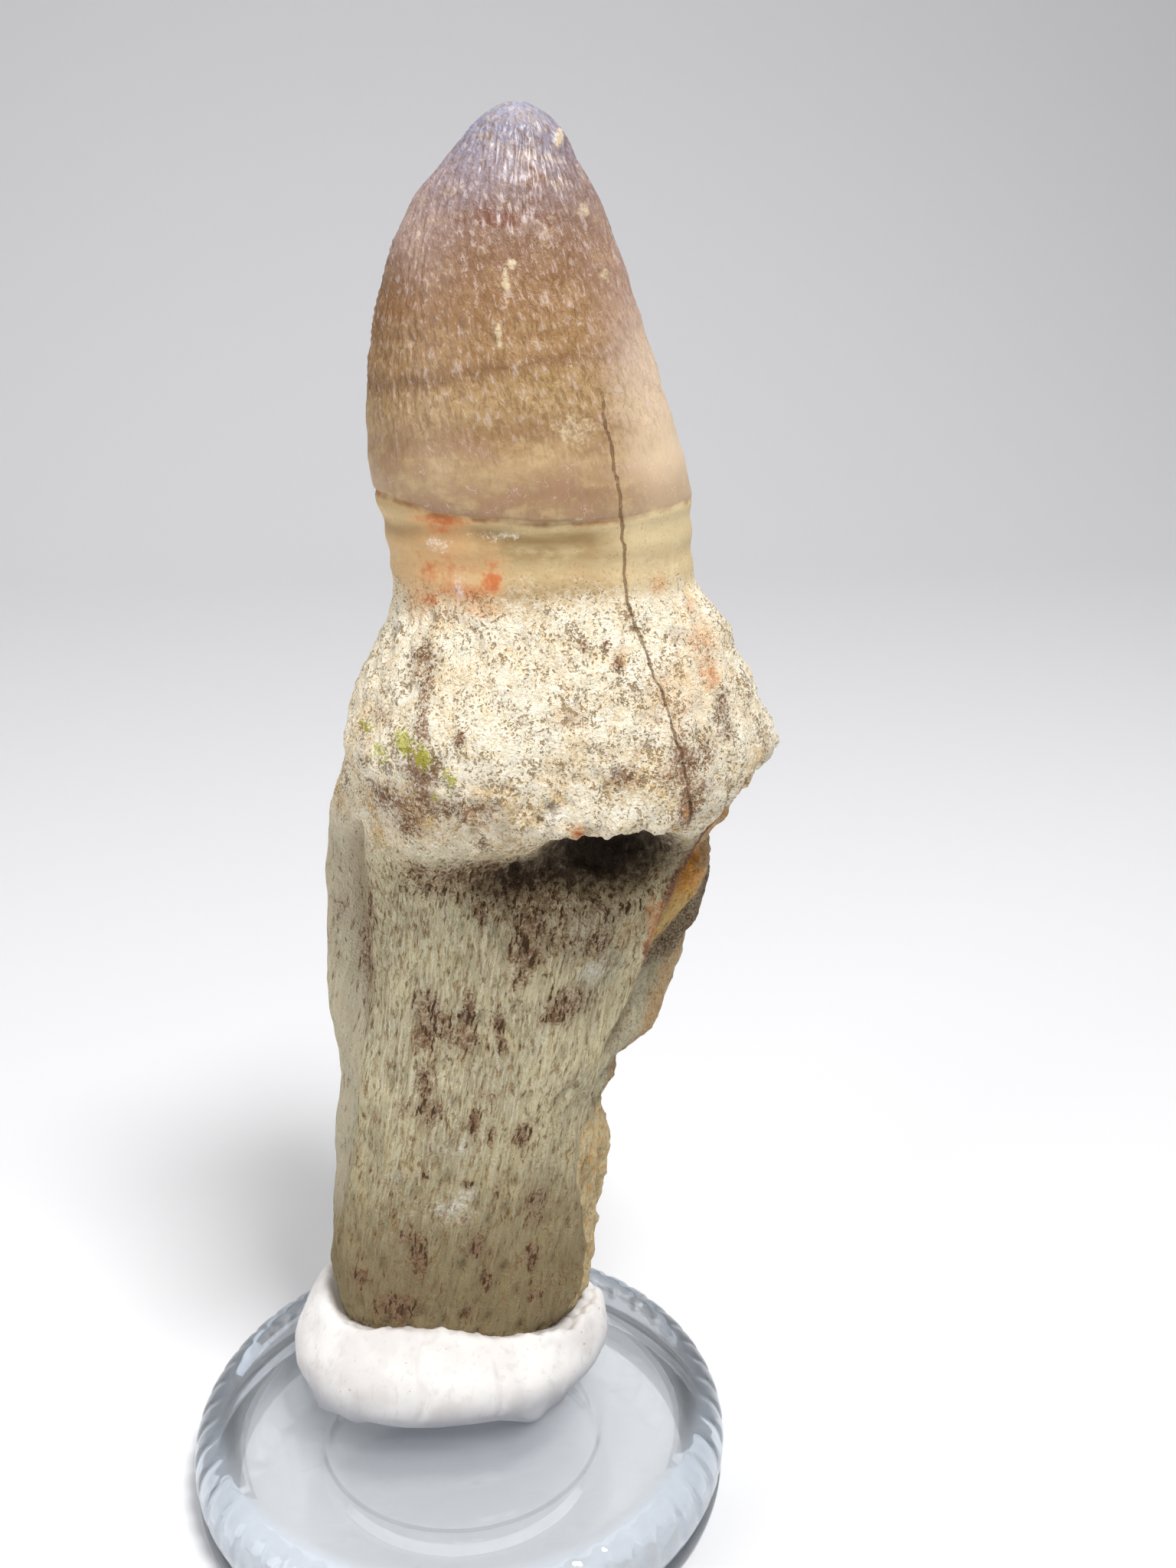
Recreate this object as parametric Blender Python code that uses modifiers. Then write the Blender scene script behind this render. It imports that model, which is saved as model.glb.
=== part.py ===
"""Fossil mosasaur tooth with its long bony root, standing in putty on a clear round stand.

Everything is written in millimetres and scaled to metres when a mesh is made. +Z is up, +X is to
the viewer's right, +Y is away from the viewer, and the origin is the centre of the stand's
underside.
"""

import bpy
import bmesh
from math import atan2, cos, hypot, pi, radians, sin
from mathutils import Vector, noise

MM = 0.001
GAP = 0.3

# Heights of the tooth's landmarks
TIP = 110.6
ENAMEL_BASE = 83.2
NECK = 77.0
LEDGE = 61.5
SHAFT_TOP = 53.0
FOOT = 10.5

# Points around each ring of the tooth's skin
SEGMENTS = 50

# Soft unevenness of the bone
LUMP_HEIGHT = 0.7
LUMP_SIZE = 6.0
LUMP_ON_ENAMEL = 0.15
FOOT_SMOOTH_BELOW = 15.0

# Putty
PUTTY_CENTRE = (-0.6, 3.9)
PUTTY_HALF_WIDTH = 13.7
PUTTY_HALF_DEPTH = 10.4
PUTTY_WAIST = 9.6
PUTTY_UNDERCUT = 1.2
PUTTY_FULLNESS = 2.4
PUTTY_RIM = 16.0
SOCKET_TOP = 30.0

# Stand
STAND_RADIUS = 22.9
STAND_HEIGHT = 6.5
STAND_FLAT_RADIUS = 19.9
STAND_EDGE_DROP = 3.2
STAND_GROOVE_HEIGHT = 1.8
STAND_GROOVE_DEPTH = 0.4
STAND_STEPS = 64

# Outlines of the tooth, top to bottom, each point as (height, place).
# LEFT_EDGE and RIGHT_EDGE are x of the widest outline, FRONT_FACE and BACK_FACE are y.
LEFT_EDGE = [
    (TIP, 6.4), (110.3, 5.2), (109.2, 4.0), (107.2, 1.7), (104.8, -0.6), (101.0, -2.5),
    (96.2, -3.6), (91.0, -4.1), (86.5, -4.3), (83.5, -4.1), (82.6, -3.7), (77.0, -3.1),
    (75.0, -3.4), (72.0, -4.9), (69.0, -6.6), (66.0, -7.2), (64.8, -7.2), (63.0, -8.0),
    (59.0, -9.0), (54.0, -9.5), (44.0, -10.0), (35.0, -9.7), (30.0, -9.7), (22.0, -10.3),
    (16.0, -10.7), (13.0, -9.8), (FOOT, -8.4),
]
RIGHT_EDGE = [
    (TIP, 6.8), (110.3, 7.6), (109.3, 9.0), (107.2, 10.8), (104.2, 12.5), (100.0, 14.1),
    (94.8, 15.9), (89.6, 17.7), (85.5, 19.0), (83.5, 19.4), (82.6, 19.3), (78.0, 19.4),
    (76.2, 20.0), (74.5, 21.6), (70.0, 23.9), (67.0, 24.9), (64.5, 25.3), (61.0, 24.4),
    (57.0, 22.8), (52.0, 21.9), (47.5, 20.5), (43.0, 19.1), (39.0, 17.8), (37.2, 16.8),
    (35.8, 14.2), (33.5, 12.9), (31.0, 12.5), (27.5, 13.4), (23.0, 13.0), (17.0, 12.8),
    (14.5, 12.2), (12.5, 10.6), (FOOT, 9.2),
]
FRONT_FACE = [
    (TIP, 4.4), (110.2, 3.4), (109.0, 2.3), (106.5, 0.5), (103.0, -1.2), (98.0, -2.9),
    (92.0, -4.2), (86.0, -5.0), (83.5, -5.2), (82.6, -4.7), (77.0, -4.9), (75.0, -6.0),
    (72.0, -7.9), (68.0, -9.3), (64.5, -9.7), (61.5, -8.7), (58.5, -6.7), (55.5, -5.0),
    (52.0, -4.0), (44.0, -3.1), (30.0, -2.4), (16.0, -1.6), (FOOT, -0.8),
]
BACK_FACE = [
    (TIP, 4.8), (110.2, 5.9), (109.0, 7.1), (106.5, 8.8), (103.0, 10.3), (98.0, 11.7),
    (92.0, 12.8), (86.0, 13.4), (83.5, 13.6), (82.6, 13.1), (77.0, 13.2), (74.0, 14.8),
    (70.0, 16.3), (65.0, 16.8), (60.0, 15.8), (55.0, 14.2), (48.0, 12.9), (38.0, 11.9),
    (24.0, 11.0), (14.0, 10.4), (FOOT, 9.2),
]
# How far the front face's own left and right edges stand in from the widest outline
LEFT_INSET = [(66.0, 0.0), (62.0, 3.4), (54.0, 6.4), (44.0, 6.2), (35.0, 4.4), (26.0, 2.4), (18.0, 0.5)]
RIGHT_INSET = [
    (64.0, 0.0), (60.0, 2.0), (56.0, 5.0), (48.0, 6.4), (40.0, 7.2), (36.5, 5.4), (33.5, 3.0),
    (31.0, 3.4), (27.0, 5.2), (22.0, 3.4), (15.0, 2.2),
]
# Squareness of the section: 2 is an ellipse, higher is boxier
SQUARENESS = [(TIP, 2.0), (NECK, 2.0), (70.0, 2.3), (60.0, 2.6), (50.0, 3.6), (20.0, 4.0), (FOOT, 3.4)]

# Rings of the tooth's skin between pairs of heights
RING_ROWS = [
    (TIP - 0.15, 108.5, 3), (108.5, ENAMEL_BASE + 1.4, 13), (ENAMEL_BASE + 1.4, ENAMEL_BASE - 1.2, 4),
    (ENAMEL_BASE - 1.2, 75.5, 4),
    (75.5, LEDGE, 10), (LEDGE, SHAFT_TOP, 8), (SHAFT_TOP, FOOT, 21),
]

# Local pushes on the skin, each as centre, reach and push
PUSHES = {
    "blade on the crown's left edge": ((-4.2, 4.2, 92.0), (1.6, 2.6, 20.0), (-0.3, 0.0, 0.0)),
    "spike": ((26.0, 3.2, 64.7), (5.0, 4.2, 3.4), (1.5, 0.0, 0.0)),
    "broken face below the spike": ((22.5, -0.5, 60.0), (5.0, 5.5, 4.4), (-1.0, 1.6, 0.0)),
    "shoulder above the spike": ((21.0, -1.0, 74.8), (3.4, 5.0, 2.6), (0.9, -0.8, 0.4)),
    "ledge": ((12.0, -8.6, 62.0), (10.0, 6.0, 3.4), (0.4, -0.5, -1.0)),
    "pit under the ledge": ((12.6, -6.0, 57.4), (7.4, 9.0, 4.8), (0.0, 6.6, 1.4)),
    "hollow left of the pit": ((4.6, -6.0, 56.0), (7.0, 8.0, 4.4), (0.0, 2.8, 0.6)),
    "brow left of the pit": ((-2.0, -7.0, 58.5), (6.0, 6.0, 4.0), (0.0, -0.8, 0.0)),
    "crease over the flap": ((22.0, 3.5, 55.6), (3.4, 6.0, 1.9), (-1.2, 0.8, 0.0)),
    "hollow between front face and flap": ((18.0, 2.8, 46.5), (4.2, 5.0, 9.5), (-2.3, 1.2, 0.0)),
    "groove behind the left ridge": ((-8.0, 1.6, 49.0), (3.6, 4.0, 11.5), (1.7, 0.9, 0.0)),
    "left ridge": ((-5.2, -3.0, 48.0), (2.8, 4.0, 15.0), (0.0, -0.8, 0.0)),
    "broken hollow, lower right": ((12.2, 2.6, 21.5), (3.4, 5.4, 9.0), (-1.6, 1.1, 0.0)),
    "notch over the broken part": ((12.6, 7.0, 33.6), (3.4, 7.0, 2.4), (-0.8, 0.0, 0.0)),
    "left corner of the swelling": ((-6.6, -2.0, 66.2), (3.6, 5.0, 3.0), (-0.9, -0.9, 0.0)),
    "step under the swelling, left": ((-7.6, 0.5, 63.0), (3.0, 5.0, 1.5), (0.9, 0.6, 0.0)),
    "hollow in the back": ((7.0, 15.5, 55.5), (9.0, 6.0, 10.0), (0.0, -3.2, 0.0)),
    "groove down the back": ((5.0, 13.0, 33.0), (4.0, 5.0, 22.0), (0.0, -1.6, 0.0)),
}


def read_outline(points, height):
    """Place on an outline at a height: straight between its points, rounded over a millimetre."""
    def straight(h):
        if h >= points[0][0]:
            return points[0][1]
        for (high, upper), (low, lower) in zip(points, points[1:]):
            if h >= low:
                return lower + (upper - lower) * (h - low) / (high - low)
        return points[-1][1]

    reach = min(0.9, 0.25 * (TIP - height))
    return sum(straight(height + step * reach) for step in (-1.0, -0.5, 0.0, 0.5, 1.0)) / 5.0


def ring_heights():
    heights = []
    for high, low, count in RING_ROWS:
        heights += [high + (low - high) * i / count for i in range(count)]
    return heights + [RING_ROWS[-1][1]]


def section_point(height, turn, grow=0.0):
    """Point of the tooth's plain section: its outline at this height, in the direction turn."""
    front = read_outline(FRONT_FACE, height) - grow
    back = read_outline(BACK_FACE, height) + grow
    left = read_outline(LEFT_EDGE, height) - grow
    right = read_outline(RIGHT_EDGE, height) + grow
    power = read_outline(SQUARENESS, height)
    across, deep = cos(turn), sin(turn)
    radius = (abs(across) ** power + abs(deep) ** power) ** (-1.0 / power)
    frontness = max(0.0, -deep * radius)
    left += read_outline(LEFT_INSET, height) * frontness
    right -= read_outline(RIGHT_INSET, height) * frontness
    x = 0.5 * (left + right) + 0.5 * (right - left) * across * radius
    y = 0.5 * (front + back) + 0.5 * (back - front) * deep * radius
    return Vector((x, y, height))


def pushed(point):
    """The point after every local push, each fading smoothly to nothing at its reach."""
    moved = point.copy()
    for centre, reach, push in PUSHES.values():
        distance = hypot(*((p - c) / r for p, c, r in zip(moved, centre, reach)))
        if distance < 1.0:
            moved += Vector(push) * (1.0 - distance * distance) ** 2
    return moved


def lumpy(point, inside):
    """The point with the bone's soft unevenness, which fades out on the enamel and at the foot."""
    strength = min(1.0, max(LUMP_ON_ENAMEL, (NECK + 2.0 - point.z) / 8.0))
    strength *= min(1.0, max(0.0, (point.z - FOOT_SMOOTH_BELOW) / 5.0))
    wave = noise.noise(Vector((point.x, point.y, point.z * 0.6)) / LUMP_SIZE)
    wave += 0.5 * noise.noise(point * 2.0 / LUMP_SIZE + Vector((7.0, 3.0, 1.0)))
    outward = Vector((point.x - inside.x, point.y - inside.y, 0.0)).normalized()
    return point + outward * wave * strength * LUMP_HEIGHT


def skin_rings(heights, grow=0.0):
    rings = []
    for height in heights:
        plain = [section_point(height, 2.0 * pi * i / SEGMENTS, grow) for i in range(SEGMENTS)]
        inside = sum(plain, Vector()) / SEGMENTS
        rings.append([lumpy(pushed(point), inside) for point in plain])
    return rings


def loft(name, rings, top_point=None):
    """Closed skin over a stack of rings, top to bottom, with a pole or a flat face at the top."""
    mesh = bmesh.new()
    rows = [[mesh.verts.new(point * MM) for point in ring] for ring in rings]
    count = len(rows[0])
    for upper, lower in zip(rows, rows[1:]):
        for i in range(count):
            j = (i + 1) % count
            mesh.faces.new((upper[i], lower[i], lower[j], upper[j]))
    if top_point is None:
        mesh.faces.new(rows[0])
    else:
        pole = mesh.verts.new(top_point * MM)
        for i in range(count):
            mesh.faces.new((pole, rows[0][i], rows[0][(i + 1) % count]))
    mesh.faces.new(list(reversed(rows[-1])))
    data = bpy.data.meshes.new(name)
    mesh.to_mesh(data)
    mesh.free()
    return bpy.data.objects.new(name, data)


def make_material(name, colour, roughness, transmission=0.0):
    material = bpy.data.materials.new(name)
    material.use_nodes = True
    shader = material.node_tree.nodes["Principled BSDF"]
    shader.inputs["Base Color"].default_value = (*colour, 1.0)
    shader.inputs["Roughness"].default_value = roughness
    shader.inputs["Metallic"].default_value = 0.0
    shader.inputs["Transmission Weight"].default_value = transmission
    material.diffuse_color = (*colour, 1.0)
    return material


def finish(item, collection, material):
    collection.objects.link(item)
    item.data.materials.clear()
    item.data.materials.append(material)
    item.data.shade_smooth()
    item.data.set_sharp_from_angle(angle=radians(50.0))
    return item


def make_tooth(collection, material):
    """Crown, neck, swollen root and bone shaft as one skin."""
    rings = skin_rings(ring_heights())
    middle = sum(rings[0], Vector()) / SEGMENTS
    tip = Vector((middle.x, middle.y, TIP))
    return finish(loft("tooth", rings, tip), collection, material)


def putty_rim(turn):
    """Height of the putty's rolled rim: highest at the back left, lowest at the front right."""
    return PUTTY_RIM - 1.0 * cos(turn) + 1.6 * sin(turn) + 0.3 * sin(3.0 * turn + 1.0)


def make_putty(collection, cutters, material):
    """Pressed lump of putty, with the socket that the bone's foot has left in it."""
    mesh = bmesh.new()
    bmesh.ops.create_uvsphere(mesh, u_segments=40, v_segments=18, radius=1.0)
    floor = STAND_HEIGHT + GAP
    for vertex in mesh.verts:
        direction = vertex.co.normalized()
        flat = hypot(direction.x, direction.y)
        turn = atan2(direction.y, direction.x)
        full = (flat ** PUTTY_FULLNESS + abs(direction.z) ** PUTTY_FULLNESS) ** (-1.0 / PUTTY_FULLNESS)
        wobble = 1.0 + 0.018 * sin(2.0 * turn + 0.6) + 0.012 * sin(5.0 * turn)
        x = PUTTY_CENTRE[0] + PUTTY_HALF_WIDTH * direction.x * full * wobble
        y = PUTTY_CENTRE[1] + PUTTY_HALF_DEPTH * direction.y * full * wobble
        rise = PUTTY_WAIST - floor + PUTTY_UNDERCUT
        if direction.z > 0.0:
            rise = putty_rim(turn) - PUTTY_WAIST
        z = max(floor, PUTTY_WAIST + rise * direction.z * full)
        vertex.co = Vector((x, y, z)) * MM
    bmesh.ops.remove_doubles(mesh, verts=mesh.verts, dist=0.02 * MM)
    data = bpy.data.meshes.new("putty")
    mesh.to_mesh(data)
    mesh.free()
    putty = bpy.data.objects.new("putty", data)

    rows = 13
    drop = (SOCKET_TOP - FOOT) / rows
    foot_heights = [SOCKET_TOP - drop * i for i in range(rows)] + [FOOT, FOOT - GAP]
    socket = loft("bone socket cutter", skin_rings(foot_heights, grow=GAP * 1.3))
    cutters.objects.link(socket)
    socket.hide_render = True
    socket.display_type = "WIRE"
    cut = putty.modifiers.new("socket for the bone", "BOOLEAN")
    cut.operation = "DIFFERENCE"
    cut.solver = "EXACT"
    cut.object = socket
    return finish(putty, collection, material)


def make_stand(collection, material):
    """Thick clear disc turned from its profile: flat top, rounded edge, groove low on its side."""
    points = [(0.0, STAND_HEIGHT), (STAND_FLAT_RADIUS, STAND_HEIGHT)]
    arc_steps = 6
    for i in range(1, arc_steps + 1):
        turn = 0.5 * pi * i / arc_steps
        radius = STAND_FLAT_RADIUS + (STAND_RADIUS - STAND_FLAT_RADIUS) * sin(turn)
        points.append((radius, STAND_HEIGHT - STAND_EDGE_DROP * (1.0 - cos(turn))))
    side = STAND_RADIUS - 0.2
    points += [
        (side, STAND_GROOVE_HEIGHT + 0.4), (side - STAND_GROOVE_DEPTH, STAND_GROOVE_HEIGHT),
        (side, STAND_GROOVE_HEIGHT - 0.4), (side, 0.5), (side - 0.5, 0.0), (0.0, 0.0),
    ]
    data = bpy.data.meshes.new("stand")
    corners = [(radius * MM, 0.0, height * MM) for radius, height in points]
    edges = [(i, i + 1) for i in range(len(points) - 1)]
    data.from_pydata(corners, edges, [])
    stand = bpy.data.objects.new("stand", data)
    finish(stand, collection, material)
    turned = stand.modifiers.new("turned", "SCREW")
    turned.steps = STAND_STEPS
    turned.render_steps = STAND_STEPS
    turned.use_merge_vertices = True
    turned.merge_threshold = 0.00001
    turned.use_smooth_shade = True
    return stand


def main():
    for item in list(bpy.data.objects):
        bpy.data.objects.remove(item, do_unlink=True)
    scene = bpy.context.scene
    parts = bpy.data.collections.new("fossil tooth on stand")
    cutters = bpy.data.collections.new("cutters")
    scene.collection.children.link(parts)
    scene.collection.children.link(cutters)
    make_tooth(parts, make_material("fossil bone", (0.62, 0.54, 0.36), 0.75))
    make_putty(parts, cutters, make_material("white putty", (0.82, 0.78, 0.74), 0.7))
    make_stand(parts, make_material("clear acrylic", (0.9, 0.93, 0.95), 0.05, transmission=1.0))


main()
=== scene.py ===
# %% [markdown]
# # A fossil mosasaur tooth on a clear stand
#
# The object is one big curved tooth of a sea reptile, still grown onto a shaft of jaw bone. The
# crown is smooth, wrinkled enamel; under it come a short neck, a swollen root of spongy bone, and
# a long fibrous shaft. The foot of the bone is pressed into white putty on a thick clear disc.
#
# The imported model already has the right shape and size, so this lesson keeps its skin, makes it
# finer, carves the small relief into it, and gives it its finish. Lengths are in millimetres, and
# MM turns them into metres.

# %% Open the fixed frame
from math import atan2, cos, hypot, pi, radians, sin

import bmesh
import bpy
import numpy as np
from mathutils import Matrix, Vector, noise
from mathutils.bvhtree import BVHTree


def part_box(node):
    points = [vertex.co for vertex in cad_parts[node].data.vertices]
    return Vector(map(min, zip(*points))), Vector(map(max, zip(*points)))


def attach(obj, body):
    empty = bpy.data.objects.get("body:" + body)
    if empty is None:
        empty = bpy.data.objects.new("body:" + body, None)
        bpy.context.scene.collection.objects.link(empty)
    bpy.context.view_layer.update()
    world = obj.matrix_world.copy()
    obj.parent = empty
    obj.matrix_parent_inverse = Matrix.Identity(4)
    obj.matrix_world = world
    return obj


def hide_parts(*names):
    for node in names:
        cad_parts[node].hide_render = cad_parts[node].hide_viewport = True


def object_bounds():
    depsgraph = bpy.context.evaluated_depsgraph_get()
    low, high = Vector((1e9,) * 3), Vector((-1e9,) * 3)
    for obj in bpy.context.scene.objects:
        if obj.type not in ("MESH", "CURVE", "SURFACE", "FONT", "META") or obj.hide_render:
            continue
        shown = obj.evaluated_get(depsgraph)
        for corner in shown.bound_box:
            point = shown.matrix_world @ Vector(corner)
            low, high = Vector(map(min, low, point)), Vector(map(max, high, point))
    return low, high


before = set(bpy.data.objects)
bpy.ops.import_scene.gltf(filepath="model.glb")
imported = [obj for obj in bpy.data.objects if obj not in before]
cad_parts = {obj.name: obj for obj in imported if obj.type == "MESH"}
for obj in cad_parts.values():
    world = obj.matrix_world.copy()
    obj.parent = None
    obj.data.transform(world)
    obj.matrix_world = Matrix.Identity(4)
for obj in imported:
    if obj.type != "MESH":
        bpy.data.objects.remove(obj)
cad_box = [list(corner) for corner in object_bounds()]
scene = bpy.context.scene
MM = 0.001
for node in sorted(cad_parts):
    low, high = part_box(node)
    print(node, [round(value / MM, 1) for value in high - low], "mm")

# %% [markdown]
# ## Camera
#
# The photograph was taken from close by, a little above the middle of the crown, looking down at
# about eighteen degrees. A lens this close makes the near rim of the disc look large, so the
# distance matters as much as the angle.

# %% Put the camera where the photograph was taken from
SENSOR = 36.0
FOCAL_PIXELS, PICTURE_PIXELS = 2000.0, 2048.0
PICTURE_MIDDLE = (768.0, 1024.0)
lens = bpy.data.cameras.new("camera")
lens.sensor_width = SENSOR
lens.lens = FOCAL_PIXELS * SENSOR / PICTURE_PIXELS
lens.clip_start = 0.005
camera = bpy.data.objects.new("camera", lens)
camera.location = (0.0, -0.111, 0.09915)
camera.rotation_euler = (radians(90.0 - 18.3), 0.0, radians(-5.7166))
scene.collection.objects.link(camera)
scene.camera = camera
print("camera", round(Vector(camera.location).length / MM), "mm from the middle of the stand")

# %% [markdown]
# ## Floor and light
#
# The tooth stands on a plain pale sheet that curves up behind it, as on a photographer's table,
# so no edge shows behind the object. One soft light hangs above and in front, because the ledge
# under the swelling throws a shadow into the pit below it. A wide weak one fills the left side,
# and a third brightens the sheet.

# %% Bend the pale sheet
def finished(work, name):
    """A bmesh as a smooth-shaded object of the scene, at the origin."""
    data = bpy.data.meshes.new(name)
    work.to_mesh(data)
    work.free()
    data.shade_smooth()
    made = bpy.data.objects.new(name, data)
    scene.collection.objects.link(made)
    return made


def pale_sheet():
    """Floor that rises into a backdrop: one long strip, extruded along its own profile."""
    depth, bend, rise = 0.42, 0.22, 0.9
    work = bmesh.new()
    start = [work.verts.new((x, -0.8, 0.0)) for x in (-1.6, 1.6)]
    edges = [work.edges.new(start)]
    profile = [(depth, 0.0)]
    profile += [(depth + bend * sin(a), bend * (1.0 - cos(a))) for a in np.linspace(0.1, pi / 2, 14)]
    profile += [(depth + bend, rise)]
    for y, z in profile:
        made = bmesh.ops.extrude_edge_only(work, edges=edges)["geom"]
        for vertex in [item for item in made if isinstance(item, bmesh.types.BMVert)]:
            vertex.co = (vertex.co.x, y, z)
        edges = [item for item in made if isinstance(item, bmesh.types.BMEdge)]
    bmesh.ops.recalc_face_normals(work, faces=work.faces)
    return finished(work, "pale_sheet")


backdrop = pale_sheet()
paper = bpy.data.materials.new("pale paper")
paper.use_nodes = True
paper_shader = paper.node_tree.nodes["Principled BSDF"]
paper_shader.inputs["Base Color"].default_value = (0.80, 0.80, 0.81, 1.0)
paper_shader.inputs["Roughness"].default_value = 0.7
backdrop.data.materials.append(paper)

# %% Hang the lights
def soft_light(name, place, target, width, height, watts):
    """Rectangular soft light at a place, turned to a target."""
    panel = bpy.data.lights.new(name, "AREA")
    panel.shape = "RECTANGLE"
    panel.size = width
    panel.size_y = height
    panel.energy = watts
    hung = bpy.data.objects.new(name, panel)
    hung.location = place
    hung.rotation_euler = (Vector(target) - Vector(place)).to_track_quat("-Z", "Y").to_euler()
    scene.collection.objects.link(hung)
    return hung


soft_light("main light", (0.10, -0.16, 0.42), (0.0, 0.0, 0.06), 0.11, 0.08, 1.75)
soft_light("left fill", (-0.42, -0.22, 0.22), (0.0, 0.0, 0.05), 0.30, 0.30, 0.88)
soft_light("sheet light", (0.0, 0.35, 0.95), (0.0, 0.35, 0.0), 0.9, 0.6, 3.4)
world = bpy.data.worlds.new("room")
world.use_nodes = True
world_glow = world.node_tree.nodes["Background"]
world_glow.inputs["Color"].default_value = (0.97, 0.97, 1.0, 1.0)
world_glow.inputs["Strength"].default_value = 0.17
scene.world = world
scene.view_settings.view_transform = "Standard"
print("lights", [item.name for item in bpy.data.lights])

# %% [markdown]
# ## A shorthand for patterns
#
# A material's pattern is arithmetic on noise: "pores, but only on the bone, and darker near the
# ledge". Wired by hand that is dozens of nodes. This class wraps a socket, so it can be written as
# a line of plain sums, and Blender still gets ordinary nodes that it can export.

# %% Write node trees as sums
class Socket:
    """One socket of a node tree. Sums on it add Math nodes; node() adds any other kind."""

    def __init__(self, tree, plug=None):
        self.tree = tree
        self.plug = plug

    def node(self, kind, settings=None, values=None, output=0):
        made = self.tree.nodes.new(kind)
        for name, value in (settings or {}).items():
            if name == "stops":
                set_stops(made.color_ramp, value)
            else:
                setattr(made, name, value)
        for name, value in (values or {}).items():
            if isinstance(value, Socket):
                self.tree.links.new(value.plug, made.inputs[name])
            else:
                made.inputs[name].default_value = value
        return Socket(self.tree, made.outputs[output])

    def sum(self, operation, first, second=0.0):
        return self.node("ShaderNodeMath", {"operation": operation}, {0: first, 1: second})

    def __add__(self, other):
        return self.sum("ADD", self, other)

    def __sub__(self, other):
        return self.sum("SUBTRACT", self, other)

    def __mul__(self, other):
        return self.sum("MULTIPLY", self, other)

    def __truediv__(self, other):
        return self.sum("DIVIDE", self, other)

    def __pow__(self, other):
        return self.sum("POWER", self, other)

    def __radd__(self, other):
        return self.sum("ADD", other, self)

    def __rsub__(self, other):
        return self.sum("SUBTRACT", other, self)

    def __rmul__(self, other):
        return self.sum("MULTIPLY", other, self)

    def __abs__(self):
        return self.sum("ABSOLUTE", self)

    def larger(self, other):
        return self.sum("MAXIMUM", self, other)

    def sine(self):
        return self.sum("SINE", self)

    def rise(self, low, high):
        """0 below low, 1 above high, with a smooth rise between."""
        values = {0: self, 1: low, 2: high, 3: 0.0, 4: 1.0}
        return self.node("ShaderNodeMapRange", {"interpolation_type": "SMOOTHSTEP"}, values)

    def fall(self, low, high):
        """1 below low, 0 above high."""
        return 1.0 - self.rise(low, high)

    def tint(self, first, second):
        """First colour where this mask is 0, second where it is 1."""
        settings = {"data_type": "RGBA", "clamp_factor": True}
        return self.node("ShaderNodeMix", settings, {0: self, 6: first, 7: second}, 2)

    def stretch(self, x, y, z):
        """This vector with each of its parts multiplied."""
        return self.node("ShaderNodeVectorMath", {"operation": "MULTIPLY"}, {0: self, 1: (x, y, z)})

    def shift(self, other):
        """This vector moved by another."""
        return self.node("ShaderNodeVectorMath", {"operation": "ADD"}, {0: self, 1: other})

    def grain(self, scale=1.0, detail=2.0, roughness=0.5, warp=0.0):
        values = {"Vector": self, "Scale": scale, "Detail": detail}
        values.update({"Roughness": roughness, "Distortion": warp})
        return self.node("ShaderNodeTexNoise", {}, values)

    def cells(self, scale):
        """Cell pattern: the distance from the nearest cell's point."""
        return self.node("ShaderNodeTexVoronoi", {}, {"Vector": self, "Scale": scale})

    def part(self, index):
        return self.node("ShaderNodeSeparateXYZ", {}, {0: self}, index)


def set_stops(band, stops):
    """Gives a colour ramp exactly these stops, each a place and a colour."""
    while len(band.elements) > 1:
        band.elements.remove(band.elements[-1])
    for index, (place, colour) in enumerate(stops):
        stop = band.elements[0] if index == 0 else band.elements.new(place)
        stop.position = place
        stop.color = colour


def tone(red, green, blue):
    """A colour as a picture shows it, from 0 to 255, turned into the shader's linear scale."""
    linear = [(value / 255.0 / 12.92) if value < 10.3 else ((value / 255.0 + 0.055) / 1.055) ** 2.4
              for value in (red, green, blue)]
    return (*linear, 1.0)


def layered(colour, *layers):
    """A colour under others, each laid over it where its own mask is 1."""
    for mask, paint in layers:
        colour = mask.tint(colour, paint)
    return colour


class Finish:
    """A new material with its shader, its start socket and its place on the object."""

    def __init__(self, name):
        self.material = bpy.data.materials.new(name)
        self.material.use_nodes = True
        self.tree = self.material.node_tree
        self.shader = self.tree.nodes["Principled BSDF"]
        self.start = Socket(self.tree)
        spot = self.start.node("ShaderNodeTexCoord", output=3)
        self.place = spot.stretch(1.0 / MM, 1.0 / MM, 1.0 / MM)

    def axes(self):
        """The place's x, y and z, in millimetres."""
        return [self.place.part(index) for index in range(3)]

    def slanted(self, x, y, z):
        """A place put together from its three parts, so that a pattern can lean."""
        return self.start.node("ShaderNodeCombineXYZ", {}, {0: x, 1: y, 2: z})

    def mark(self, name):
        """A mask that the mesh carries at its points."""
        return self.start.node("ShaderNodeAttribute", {"attribute_name": name}, output=2)

    def feed(self, name, value):
        self.tree.links.new(value.plug, self.shader.inputs[name])

    def bump(self, height):
        """Fine relief from a height in millimetres."""
        values = {"Height": height, "Distance": MM, "Strength": 1.0}
        self.feed("Normal", self.start.node("ShaderNodeBump", {}, values))

    def fixed(self, **values):
        for name, value in values.items():
            self.shader.inputs[name.replace("_", " ")].default_value = value


print("shorthand ready")

# %% [markdown]
# ## The tooth's skin
#
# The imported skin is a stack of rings, a few millimetres apart: right in shape, too coarse for
# wrinkles and pores. Sculpting it by hand would not repeat, so it is made finer in three steps:
# merge it and join its triangles back into four-sided faces, round it with Subdivision Surface,
# then cut once more only where the real surface is fine: the wrinkled enamel, the fibrous shaft,
# the crack, and the saw edge.

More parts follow.
